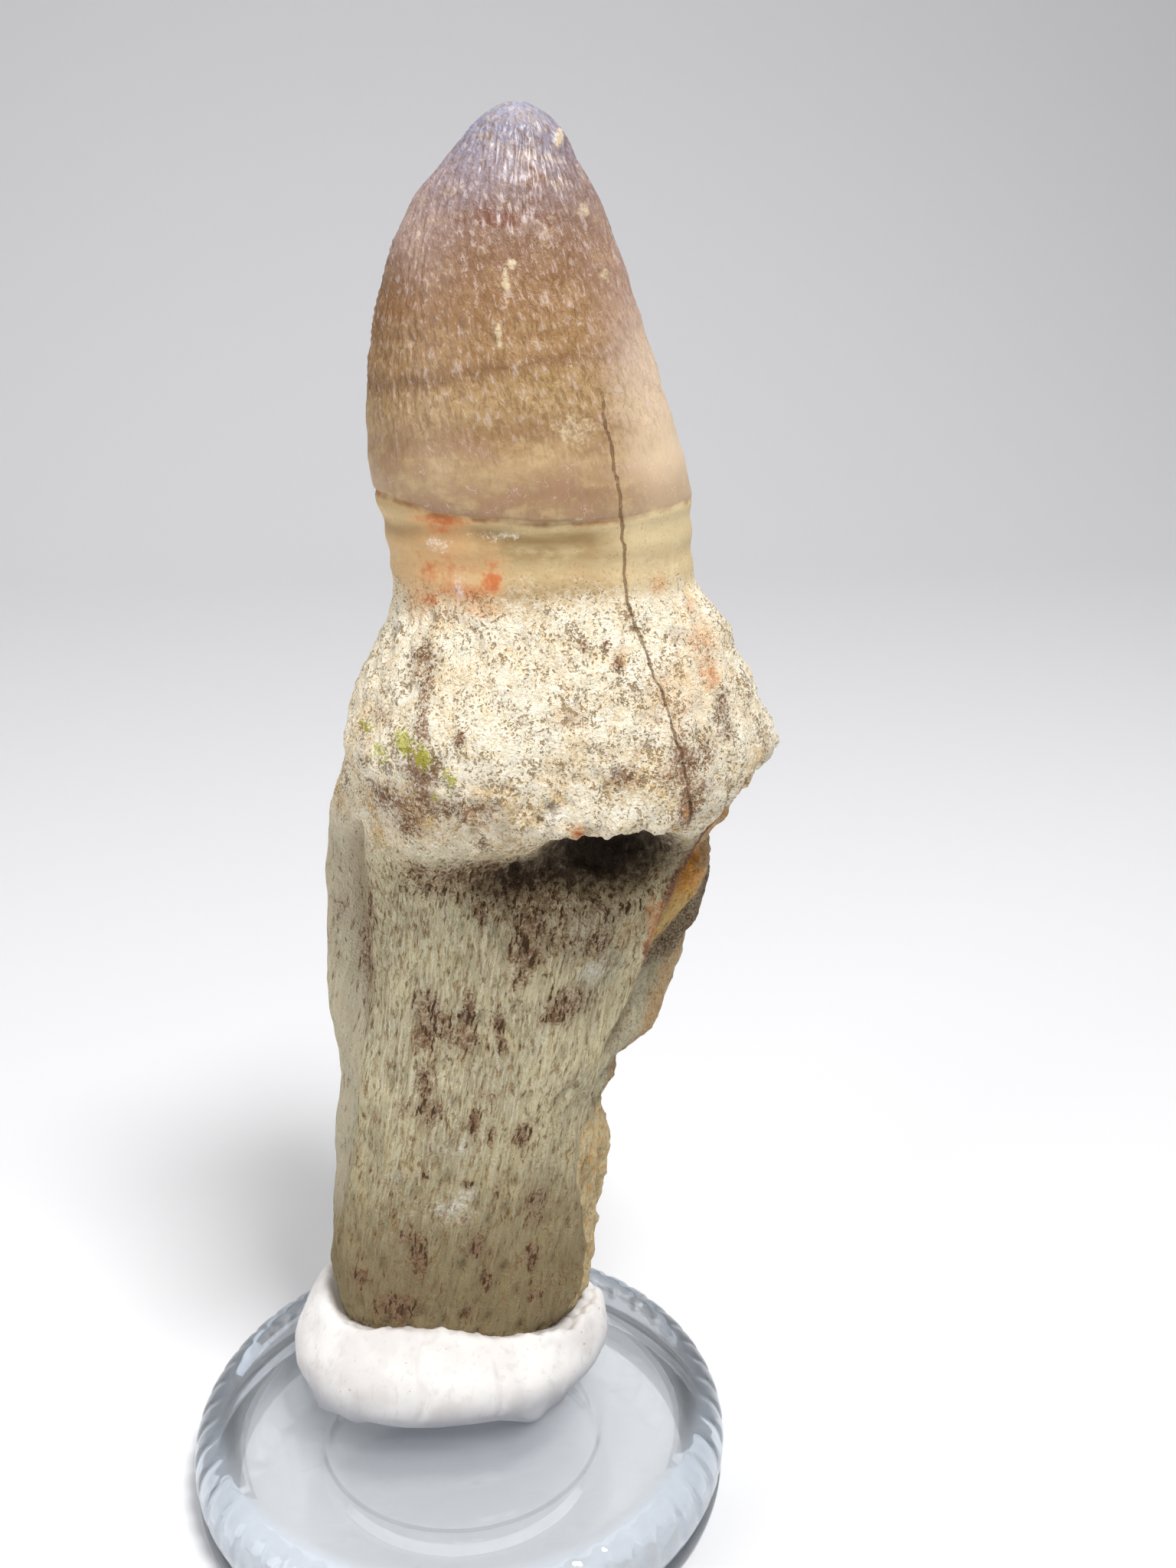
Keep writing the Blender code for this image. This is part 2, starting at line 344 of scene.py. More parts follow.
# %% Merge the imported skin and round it
def joined_copy(node):
    """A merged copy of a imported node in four-sided faces. The node itself is left alone."""
    work = bmesh.new()
    work.from_mesh(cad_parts[node].data)
    bmesh.ops.remove_doubles(work, verts=work.verts, dist=0.01 * MM)
    bmesh.ops.join_triangles(
        work, faces=work.faces, angle_face_threshold=radians(80.0), angle_shape_threshold=radians(80.0)
    )
    return work


def rounded(work, name, levels):
    """The bmesh after Subdivision Surface, as a new bmesh."""
    holder = finished(work, name)
    layers = holder.data.attributes
    for extra in ("custom_normal", "sharp_edge", "sharp_face"):
        if extra in layers:
            layers.remove(layers[extra])
    step = holder.modifiers.new("rounding", "SUBSURF")
    step.levels = levels
    step.render_levels = levels
    smooth = bpy.data.meshes.new_from_object(holder.evaluated_get(bpy.context.evaluated_depsgraph_get()))
    bpy.data.objects.remove(holder)
    finer = bmesh.new()
    finer.from_mesh(smooth)
    return finer


skin = rounded(joined_copy("tooth"), "tooth skin", 2)
print("rounded skin", len(skin.faces), "faces")

# %% Name the lines and places on the tooth
# Each line down the front: height and x. The enamel's edge: x and height.
CRACK = [(56.0, 17.9), (60.6, 17.9), (63.3, 17.7), (65.7, 17.2), (68.4, 16.6), (71.0, 15.7),
         (73.1, 14.9), (75.5, 14.1), (77.2, 13.6), (78.8, 13.4), (82.1, 13.2), (84.4, 13.0),
         (86.8, 12.6), (89.4, 12.0), (91.6, 11.7), (96.0, 11.0)]
LEFT_RIDGE = [(17.5, -10.4), (22.7, -9.4), (25.8, -8.4), (29.9, -7.8), (35.5, -6.9), (40.2, -6.3),
              (44.4, -5.8), (50.3, -5.5), (59.5, -5.5), (64.6, -6.1)]
RIGHT_RIDGE = [(14.5, 9.0), (17.5, 10.7), (23.5, 10.2), (27.4, 9.5), (31.3, 9.9), (34.1, 10.8), (40.3, 11.8),
               (44.0, 13.9), (48.7, 15.4), (52.0, 16.3), (54.5, 17.4), (57.0, 19.0), (59.0, 21.5)]
ENAMEL_EDGE = [(-6.0, 84.5), (-3.0, 84.3), (0.0, 83.6), (6.6, 83.1), (12.0, 83.1), (17.7, 83.6), (20.0, 83.8)]


def along(line, at):
    """A named line read at a height, or at an x for the enamel's edge."""
    return np.interp(at, *zip(*line))


def ramp(value, low, high):
    """0 at low, 1 at high, with a smooth rise between; low may be the larger."""
    t = np.clip((value - low) / (high - low), 0.0, 1.0)
    return t * t * (3.0 - 2.0 * t)


def between(value, start, full, fade, end):
    """0 below start, 1 from full to fade, and 0 again above end."""
    return ramp(value, start, full) * ramp(value, end, fade)


def ridge(distance, width):
    """A rounded ridge: 1 on its line and 0 a few widths away."""
    return np.exp(-(distance / width) ** 2)


print("lines named")

# %% Cut finer only where the surface is fine
NECK_TOP, NECK_FOOT, SHAFT_TOP, BURIED = 84.0, 77.5, 60.0, 12.0


def across(edge):
    """Whether an edge runs around the tooth rather than up it."""
    rise = edge.verts[1].co - edge.verts[0].co
    return abs(rise.z) < 0.7 * hypot(rise.x, rise.y)


def middle(edge):
    return (edge.verts[0].co + edge.verts[1].co) * (0.5 / MM)


def halved(work, wanted, cuts=1):
    chosen = [edge for edge in work.edges if wanted(edge, middle(edge))]
    bmesh.ops.subdivide_edges(work, edges=chosen, cuts=cuts, use_grid_fill=True)
    return len(chosen)


def near_crack(edge, spot):
    close = abs(spot.x - along(CRACK, spot.z)) < 0.55 and spot.y < 2.0 and 60.5 < spot.z < NECK_TOP
    return close and across(edge)


def near_front(edge, spot):
    """On the enamel, the shaft or the front of the swelling, but not down in the putty."""
    in_front = spot.z < NECK_FOOT and spot.y < 0.5
    return (spot.z > NECK_TOP or spot.z < SHAFT_TOP or in_front) and spot.z > BURIED and across(edge)


around = halved(skin, near_front)
skin.normal_update()
saw = halved(skin, lambda edge, spot: 84.5 < spot.z < 108.0 and not across(edge)
             and min(v.normal.x for v in edge.verts) < -0.9, cuts=2)
crack_cuts = halved(skin, near_crack, cuts=2)
triangles = sum(len(face.verts) - 2 for face in skin.faces)
print("cut", around, "edges around,", saw, "on the saw edge,", crack_cuts, "at the crack")
print(triangles, "triangles")

# %% [markdown]
# ## Carving the relief
#
# Everything that throws its own small shadow is carved into the skin: the wrinkles that run up
# the enamel, the saw edge down its left side, the step where the enamel ends, the rings of the
# neck, the lumps and pits of the swelling, the slanting fibres of the shaft, and the torn walls of
# the broken hollows. Each is a height in millimetres along the surface, made from smooth noise
# stretched the way the real grain runs. Only pores finer than half a millimetre are left to bump.

# %% Noise at every point of the skin
def places(work):
    return np.array([vertex.co for vertex in work.verts]) / MM


def move_to(work, points):
    for vertex, point in zip(work.verts, points * MM):
        vertex.co = point


def headings(work):
    work.normal_update()
    return np.array([vertex.normal for vertex in work.verts])


def field(points, across_scale, up_scale, seed=0.0, lean=0.0):
    """Smooth noise from -1 to 1, fine or coarse across and up, leaning to the right as it rises."""
    x, y, z = points.T
    rows = zip((x - lean * z) * across_scale + seed, y * across_scale, z * up_scale)
    return np.array([noise.noise(row) for row in rows])


def pits(points, spacing, tall, seed):
    """Round pits, one to a cell: 1 at each pit's middle, falling to 0 at its rim."""
    x, y, z = points.T
    rows = zip(x / spacing + seed, y / spacing, z / (spacing * tall))
    return np.array([max(0.0, 1.0 - 2.6 * noise.voronoi(row)[0][0]) for row in rows])


def patch(points, spots):
    """Soft mask from spots: x, y, z of each middle, its half width, half height and strength."""
    mask = np.zeros(len(points))
    for x, y, z, wide, tall, strength in spots:
        off = ((points[:, 0] - x) / (1.6 * wide)) ** 2 + ((points[:, 2] - z) / (1.6 * tall)) ** 2
        off += ((points[:, 1] - y) / (2.5 + wide)) ** 2
        mask = np.maximum(mask, strength * np.clip(1.0 - off, 0.0, 1.0) ** 0.8)
    return mask


print("noise ready;", len(skin.verts), "points")

# %% Shape the broken edges before the fine relief
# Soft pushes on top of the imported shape: middle, reach and push of each, in millimetres
TEARS = {
    "undercut below the ledge": ((12.2, -6.5, 59.2), (7.5, 6.0, 2.6), (0.0, 1.6, 0.5)),
    "lip of the ledge": ((11.0, -9.0, 62.4), (8.5, 4.0, 1.8), (0.0, -0.5, -0.5)),
    "second bite, left of the pit": ((5.6, -4.5, 55.6), (4.0, 4.0, 2.2), (0.0, 0.9, 0.2)),
    "chip under the spike": ((24.0, 2.0, 61.8), (3.4, 5.0, 2.2), (-0.9, 0.5, 0.4)),
    "nick in the flap's end": ((15.0, 3.5, 37.0), (3.4, 6.5, 2.6), (-1.5, 0.0, 0.0)),
    "hook above the nick": ((16.0, 2.5, 40.2), (2.0, 4.5, 1.2), (0.3, 0.0, -0.5)),
}


def torn(points):
    moved = points.copy()
    for centre, reach, push in TEARS.values():
        off = (((moved - centre) / reach) ** 2).sum(axis=1)
        moved += np.outer(np.clip(1.0 - off, 0.0, 1.0) ** 2, push)
    return moved


points = torn(places(skin))
move_to(skin, points)
normals = headings(skin)
print("torn edges:", ", ".join(TEARS))

# %% Say where each kind of surface is
# Spots, here and in the stains: x, y, z of the middle, half width, half height, strength
PIT_SPOTS = [
    (12.4, -2.0, 57.4, 4.6, 2.4, 1.0), (5.4, -3.0, 55.8, 2.8, 1.3, 0.75), (8.6, -2.5, 56.6, 3.2, 1.6, 0.8),
]
GRAIN_SPOTS = [
    (4.7, -3.3, 95.8, 0.30, 0.28, 1.0), (4.8, -3.5, 94.9, 0.24, 0.26, 0.8), (9.2, 2.8, 108.2, 0.28, 0.5, 0.8),
]
x, y, z = points.T
over_edge = z - along(ENAMEL_EDGE, x) + 0.16 * field(points, 0.45, 0.45, 3.0)
enamel = ramp(over_edge, -0.12, 0.12)
bone = ramp(z, 79.2, 75.2)
shaft = ramp(z, 63.5, 54.0)
front = ramp(normals[:, 1], 0.1, -0.5)
past_left = x - along(LEFT_RIDGE, z)
past_right = x - along(RIGHT_RIDGE, z)
left_face = ramp(past_left, -0.2, -1.2) * between(z, 16.0, 30.0, 58.0, 62.5)
flap = ramp(past_right, 0.3, 0.9) * ramp(y, -2.0, 0.0) * between(z, 33.0, 34.5, 58.4, 59.6)
torn_edge = 1.8 * field(points, 0.5, 0.4, 50.0)
fresh = ramp(y + 1.5 * torn_edge, 8.5, 4.5) * between(z + torn_edge, 32.0, 36.0, 58.0, 60.5)
hollow = ramp(past_right, 0.2, 0.9) * ramp(y, -1.6, -0.2) * between(z, 12.5, 14.0, 32.5, 34.5)
pit = patch(points, PIT_SPOTS) * ramp(z, 61.8, 60.2)
crevice = ridge(past_right - 0.5 + 0.3 * torn_edge, 0.85 + 0.5 * ramp(z, 53.0, 57.0)) * ramp(y, 3.0, 1.0)
crevice *= between(z + torn_edge, 42.0, 49.0, 58.5, 60.5)
lip = front * between(x, -3.0, 2.0, 16.0, 19.0) * between(z, 59.0, 61.0, 62.5, 64.5)
print("enamel", round(float(enamel.mean()), 2), "flap", round(float(flap.mean()), 3), "of the points")

# %% Carve enamel, neck and bone
wrinkled = enamel * between(z, 86.5, 92.5, 108.6, 110.8)
streaks = np.abs(field(points, 2.5, 0.75, 11.0, -0.20) + 0.4 * field(points, 4.2, 1.3, 5.0, -0.20))
height = wrinkled * 0.30 * (0.26 - streaks)
height += enamel * 0.05 * field(points, 0.7, 0.9, 2.0)
height += enamel * 0.04 * np.sin(z * 1.7 + 2.5 * field(points, 0.12, 0.12, 8.0))
height += 0.34 * ramp(z, 107.0, 109.6)
height += 0.32 * patch(points, GRAIN_SPOTS)
height -= 0.09 * ridge(over_edge + 0.12, 0.2)
height += 0.05 * enamel * ramp(over_edge, 1.6, 0.1)

necked = (1.0 - enamel) * (1.0 - bone)
rings = 0.08 * np.sin(z * 2.5 + field(points, 0.2, 0.2, 4.0))
height += necked * (rings + 0.09 * field(points, 0.9, 0.35, 6.0))

lumps = 0.24 * field(points, 0.36, 0.36, 1.0) + 0.20 * field(points, 0.8, 0.65, 7.0)
lumps += 0.22 * field(points, 1.6, 1.2, 9.0) + 0.12 * field(points, 2.8, 2.2, 10.0)
flutes = ramp(z, 68.0, 74.0) * 0.22 * field(points, 1.9, 0.18, 12.0)
height += bone * (1.0 - shaft) * (lumps + flutes - 0.34 * pits(points, 1.5, 1.3, 4.0))

bent = points.copy()
bent[:, 0] += 0.002 * np.maximum(0.0, 50.0 - z) ** 2 - 0.14 * z
fibres = 0.14 * field(bent, 1.6, 0.08, 15.0) + 0.13 * field(bent, 3.0, 0.2, 18.0)
swell = 0.16 * field(bent, 0.33, 0.12, 21.0) + 0.12 * field(bent, 0.8, 0.4, 23.0)
calm = 1.0 - 0.6 * left_face
height += bone * shaft * (swell + calm * fibres - 0.45 * calm * pits(bent, 1.35, 2.2, 1.0))

ragged = np.maximum(np.maximum(pit, 0.5 * flap), 0.8 * hollow)
ragged = np.maximum(ragged, 0.8 * ramp(x, 19.5, 22.5) * between(z, 54.0, 57.0, 63.0, 65.0))
ragged = np.maximum(ragged, 1.1 * lip)
crumbs = 0.50 * field(points, 0.6, 0.55, 31.0) + 0.36 * field(points, 1.4, 1.1, 33.0)
height += ragged * (crumbs - 0.3 * pits(points, 1.3, 1.2, 8.0))
print("relief from", round(float(height.min()), 2), "to", round(float(height.max()), 2), "mm")

# %% Carve the ridges, the saw edge and the crack
left_part = between(z, 14.0, 26.0, 57.0, 62.0) * ramp(y, 6.0, 2.0)
height += left_part * 0.42 * ridge(past_left + 0.1, 0.75)
height -= left_part * ramp(z, 47.0, 52.0) * 0.75 * ridge(past_left + 1.1, 0.6)
height -= left_part * ramp(z, 28.0, 36.0) * 0.35 * ridge(past_left + 1.8, 1.2)
right_part = ramp(y, 3.5, 1.0) * between(z, 13.0, 16.0, 56.0, 58.0)
height += right_part * 0.45 * ridge(past_right + 0.1, 0.65)
height -= right_part * ramp(z, 37.0, 41.0) * 0.9 * ridge(past_right - 1.5, 0.7)
height -= right_part * ramp(z, 32.0, 29.0) * 0.5 * ridge(past_right - 1.4, 0.8)

keel = np.clip(-normals[:, 0], 0.0, 1.0) ** 14 * enamel * between(z, 84.0, 87.0, 106.0, 109.5)
saw_pitch = 0.56
teeth = np.sin(z * 2.0 * pi / saw_pitch + 3.0 * field(points, 0.5, 0.5, 2.0))
height += keel * (0.26 + 0.05 * teeth * between(z, 93.0, 97.0, 103.5, 106.0))

crack_off = x - along(CRACK, z) + 0.22 * field(points, 0.6, 0.8, 40.0) + 0.10 * field(points, 2.0, 2.2, 41.0)
cracked = ramp(y, 4.0, 1.5) * between(z, 60.4, 61.5, 90.0, 92.5)
height -= cracked * (0.02 + 0.06 * bone) * ridge(crack_off, 0.14)
height += cracked * 0.12 * between(crack_off, 0.0, 0.15, 0.6, 3.0)

height *= ramp(z, 9.5, 13.0)
carved = points + normals * height[:, None]
inner_low, inner_high = [np.array(corner) / MM for corner in cad_box]
carved = np.clip(carved, inner_low - 0.3, inner_high + 0.1)
move_to(skin, carved)
print("tooth now spans", np.round(carved.max(axis=0) - carved.min(axis=0), 1), "mm")

# %% [markdown]
# ## Marks that the finish reads
#
# Iron and clay have soaked into the bone in patches: brown clusters of pores, rust red on the
# neck and along the broken edge, a few flecks of lime yellow, and rubbed chalky places, among
# which two pale spots on the crown are painted glints. Noise alone would put them anywhere, so
# each patch is given a place and size, and the mesh carries them as masks at its points. The
# shader later breaks up their edges with fine grain. On the sides and back, which the photograph
# doesn't show, patches of the same kinds come from noise.

# %% List the stained places
# Read from the photograph, in its pixels: across, down, half width, half height, strength
BROWN_SEEN = [
    (553, 860, 18, 22, 0.7), (558, 892, 10, 25, 0.8), (555, 925, 8, 20, 0.7), (553, 957, 10, 14, 0.8),
    (550, 1010, 18, 28, 1), (557, 1037, 10, 18, 1), (600, 965, 7, 8, 1), (497, 935, 11, 10, 0.6),
    (893, 1000, 18, 30, 0.9), (898, 1050, 12, 35, 0.9), (815, 1015, 22, 12, 0.8), (868, 1015, 12, 10, 0.7),
    (920, 985, 18, 14, 0.7), (945, 925, 10, 20, 0.8), (950, 955, 14, 12, 0.6), (915, 1030, 20, 15, 0.7),
    (808, 867, 7, 8, 1), (762, 843, 6, 7, 0.9), (790, 843, 6, 6, 0.8), (883, 828, 13, 8, 0.6),
    (510, 1045, 40, 18, 0.8), (560, 1055, 30, 15, 0.8), (620, 1060, 30, 14, 0.8), (530, 1075, 20, 14, 0.9),
    (475, 965, 9, 28, 0.6), (470, 1115, 10, 9, 0.6), (550, 1140, 22, 12, 0.8), (590, 1145, 15, 10, 0.8),
    (640, 1130, 26, 14, 0.8), (680, 1160, 25, 18, 0.9), (630, 1192, 10, 14, 0.8), (692, 1210, 22, 22, 0.9),
    (737, 1200, 10, 10, 0.7), (690, 1250, 22, 16, 1), (680, 1280, 15, 10, 0.7), (780, 1228, 22, 18, 0.7),
    (740, 1312, 28, 20, 0.8), (725, 1326, 14, 10, 1), (560, 1325, 17, 25, 0.9), (555, 1352, 12, 18, 1),
    (613, 1320, 6, 25, 1), (610, 1357, 13, 16, 1), (652, 1338, 6, 20, 1), (655, 1362, 6, 10, 1),
    (555, 1415, 10, 25, 0.8), (560, 1452, 16, 14, 0.9), (525, 1450, 9, 10, 0.7), (620, 1466, 8, 15, 1),
    (682, 1482, 9, 15, 1), (641, 1483, 6, 14, 0.7), (640, 1432, 9, 8, 0.6), (610, 1546, 8, 5, 0.8),
    (556, 1537, 4, 4, 0.9), (700, 1570, 14, 22, 0.7), (695, 1640, 8, 17, 1), (622, 1628, 9, 14, 1),
    (530, 1620, 9, 10, 0.8), (546, 1643, 10, 26, 0.9), (470, 1668, 10, 10, 1), (520, 1710, 22, 18, 1),
    (636, 1672, 6, 13, 0.9), (610, 1717, 8, 8, 0.7), (700, 1692, 10, 10, 0.7), (655, 1555, 8, 20, 0.5),
]
RUST_SEEN = [
    (575, 690, 30, 10, 0.7), (560, 745, 18, 18, 0.7), (605, 772, 42, 10, 0.8), (642, 760, 13, 13, 1),
    (645, 735, 14, 8, 0.7), (575, 680, 36, 6, 0.9), (560, 782, 12, 10, 0.8), (628, 795, 28, 8, 0.6),
    (915, 835, 21, 24, 0.5), (740, 940, 20, 12, 0.3), (815, 855, 6, 12, 0.5), (858, 1182, 5, 8, 0.8),
    (820, 1222, 14, 18, 0.35), (900, 790, 8, 6, 0.6), (860, 765, 12, 10, 0.5),
]
LIME_SEEN = [
    (528, 970, 13, 13, 0.8), (555, 990, 9, 15, 0.8), (495, 983, 9, 10, 0.7), (587, 1018, 9, 12, 0.7),
    (568, 1040, 7, 8, 0.6), (478, 948, 12, 6, 0.6),
]
CHALK_SEEN = [
    (600, 768, 9, 18, 0.5), (572, 712, 18, 10, 0.5), (650, 700, 33, 7, 0.45), (750, 560, 30, 15, 0.6),
    (775, 1270, 22, 15, 0.6), (590, 1580, 28, 15, 0.55), (612, 1560, 15, 11, 0.55),
    (590, 1500, 28, 14, 0.45), (728, 1065, 16, 10, 0.8), (815, 1060, 30, 8, 0.6), (800, 1005, 20, 14, 0.4),
    (520, 1540, 14, 10, 0.4),
]
# Moved, resized or added after that, in millimetres on the tooth
BROWN_SPOTS = [
    (-5.9, 0.6, 52.6, 0.7, 2.4, 0.9), (-6.3, 2.7, 47.6, 0.8, 2.8, 0.85), (-6.5, 2.1, 43.2, 0.6, 1.6, 0.5),
    (4.2, -1.0, 103.0, 0.9, 0.5, 1.0), (5.6, -1.2, 102.7, 0.6, 0.4, 0.9), (7.9, -0.9, 102.9, 0.4, 0.4, 0.8),
    (7.6, 0.1, 105.3, 0.6, 1.2, 0.6), (5.8, -1.2, 103.2, 3.6, 0.9, 0.5), (-3.0, 1.5, 81.3, 0.6, 1.2, 1.0),
    (-3.4, 0.6, 83.6, 0.9, 0.5, 1.0), (8.5, -3.8, 50.9, 1.6, 0.9, 0.7), (11.2, -3.3, 49.9, 1.2, 0.9, 0.7),
    (-0.5, -2.8, 43.4, 1.4, 1.6, 0.7), (6.4, -3.6, 51.0, 1.6, 1.8, 0.6), (1.5, -3.6, 56.4, 4.5, 1.5, 0.8),
    (6.0, -3.3, 54.6, 3.5, 1.8, 0.75), (11.5, -3.0, 53.6, 3.5, 2.0, 0.55),
    (-3.5, -5.0, 62.6, 3.2, 1.6, 0.5), (10.5, -3.4, 50.4, 3.0, 1.6, 0.35), (1.0, -2.8, 42.8, 3.6, 2.0, 0.3),
]
RUST_SPOTS = [
    (19.1, -3.4, 72.6, 1.0, 1.2, 0.45), (19.7, -3.9, 71.6, 0.8, 0.9, 0.7),
    (15.8, -1.9, 51.5, 0.3, 1.9, 0.75), (9.6, -9.2, 62.0, 0.35, 0.35, 0.8),
    (17.3, -8.5, 62.5, 0.25, 0.5, 0.5), (0.6, -2.6, 79.6, 3.4, 2.8, 0.55),
    (16.6, -6.6, 71.0, 2.0, 2.4, 0.35), (9.5, -8.8, 61.7, 0.5, 0.4, 1.0), (-1.6, -0.8, 77.0, 1.0, 1.4, 0.5),
]
# Chalky places on the crown; the two on its right flank, 103.5 and 99.3 mm up, are painted glints.
CHALK_AND_GLINT_SPOTS = [
    (5.3, -2.6, 98.9, 0.25, 1.3, 0.7), (5.7, -2.2, 100.0, 0.3, 0.4, 0.8), (4.7, -3.3, 95.8, 0.3, 0.28, 1.0),
    (4.8, -3.5, 94.9, 0.24, 0.26, 0.9), (9.2, 2.8, 108.2, 0.3, 0.5, 0.9), (10.9, 0.9, 103.5, 0.5, 0.4, 0.7),
    (12.3, 0.0, 99.3, 0.4, 0.6, 0.5), (-0.6, 0.8, 100.8, 0.6, 1.8, 0.4),
]
# Looking down foreshortens the heights, and this makes up for it
TALLER = 1.1
packed_skin = BVHTree.FromObject(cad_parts["tooth"], bpy.context.evaluated_depsgraph_get())


def on_tooth(seen):
    """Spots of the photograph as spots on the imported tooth, found along the camera's own rays."""
    turned = camera.rotation_euler.to_matrix()
    placed = []
    for across_photo, down_photo, wide, tall, strength in seen:
        ray = Vector((across_photo - PICTURE_MIDDLE[0], PICTURE_MIDDLE[1] - down_photo, -FOCAL_PIXELS))
        hit = packed_skin.ray_cast(camera.location, (turned @ ray).normalized())
        spot, pixel = hit[0] / MM, hit[3] / MM / FOCAL_PIXELS
        tenths = [round(value, 1) for value in (*spot, wide * pixel, tall * pixel * TALLER)]
        placed.append((*tenths, strength))
    return placed


STAINS = {
    "brown": on_tooth(BROWN_SEEN) + BROWN_SPOTS, "rust": on_tooth(RUST_SEEN) + RUST_SPOTS,
    "lime": on_tooth(LIME_SEEN), "chalk_and_glints": on_tooth(CHALK_SEEN) + CHALK_AND_GLINT_SPOTS,
}
print({name: len(spots) for name, spots in STAINS.items()}, "stained places")

# %% Carry the marks on the mesh
def write_mark(data, name, values):
    layer = data.attributes.new(name, "FLOAT", "POINT")
    layer.data.foreach_set("value", np.asarray(values, dtype=np.float32))


unseen = ramp(y, 2.0, 6.0)
marks = {name: patch(points, spots) for name, spots in STAINS.items()}
print("stained share:", {name: round(float(mask.mean()), 3) for name, mask in marks.items()})
uneven = 0.5 * field(points, 0.6, 0.35, 51.0) + 0.3 * field(points, 1.4, 0.7, 52.0)
patchy = field(points, 0.20, 0.11, 50.0) + uneven
ruddy = field(points, 0.12, 0.10, 60.0) - uneven
dusty = field(points, 0.22, 0.16, 70.0) + uneven
for name, behind in (
    ("brown", bone * ramp(patchy, 0.15, 0.75)),
    ("rust", 0.45 * ramp(ruddy, 0.25, 0.9)),
    ("chalk_and_glints", 0.5 * bone * ramp(dusty, 0.3, 0.85)),
):
    marks[name] = np.maximum(marks[name], unseen * behind)
marks.update({
    "crack": np.clip(crack_off, -4.0, 4.0), "over_edge": np.clip(over_edge, -4.0, 4.0),
    "pit": pit, "crevice": crevice, "left_face": left_face, "relief": height, "shaft": shaft,
    "flap": flap * fresh, "hollow": hollow * ramp(z + torn_edge, 34.5, 30.5),
    "bone": ramp(z, 81.2, 74.0),
})
bmesh.ops.recalc_face_normals(skin, faces=skin.faces)
fossil_tooth = finished(skin, "fossil_tooth")
for name, values in marks.items():
    write_mark(fossil_tooth.data, name, values)
print("fossil_tooth", len(fossil_tooth.data.polygons), "faces with marks", ", ".join(marks))

# %% [markdown]
# ## The fossil's finish
#
# One material covers the whole tooth, because it is one grown piece and its zones run into each
# other: blue-grey enamel at the tip, mauve and tan bands below, a cream neck, chalky swelling,
# and olive-grey fibres with brown pores on the shaft. Each zone is a colour made from its own
# noise, and the marks on the mesh say where one gives way to the next. The alternative, a
# separate material for each zone, would leave hard seams that the real fossil doesn't have.

# %% Colours of the fossil
TIP_GREY = tone(138, 138, 158)
MAUVE = tone(184, 156, 145)
LILAC_GLINT = tone(206, 188, 180)
STREAK_SHADE_BROWN = tone(122, 88, 56)
CREAM = tone(252, 243, 219)
CHALK_AND_HIGHLIGHT_WHITE = tone(254, 250, 238)
SHAFT_CREAM = tone(220, 208, 168)
SHAFT_GREY = tone(196, 185, 152)
SHAFT_PALE = tone(234, 227, 200)
PORE_BROWN = tone(88, 61, 34)
CLAY_MAUVE = tone(168, 130, 100)
CLAY_BROWN = tone(120, 80, 48)
RUST_PALE = tone(220, 172, 118)
RUST_RED = tone(198, 94, 32)
ORANGE = tone(236, 152, 14)
LIME = tone(190, 184, 50)
SHADE_BROWN = tone(50, 32, 17)
LENS_SHADE_PALE = tone(132, 110, 80)
LENS_SHADE_DARK = tone(96, 74, 50)
CROWN_BANDS = [
    (0.03, tone(168, 138, 98)), (0.10, tone(154, 122, 88)), (0.17, tone(184, 154, 112)),
    (0.25, tone(156, 121, 78)), (0.31, tone(176, 144, 98)), (0.37, tone(168, 133, 86)),
    (0.395, tone(138, 100, 59)), (0.43, tone(164, 127, 82)), (0.55, tone(146, 105, 64)),
    (0.66, tone(134, 97, 70)), (0.74, tone(136, 111, 104)), (0.84, tone(138, 124, 134)), (0.95, TIP_GREY),
]
print(len(CROWN_BANDS), "bands of enamel colour")

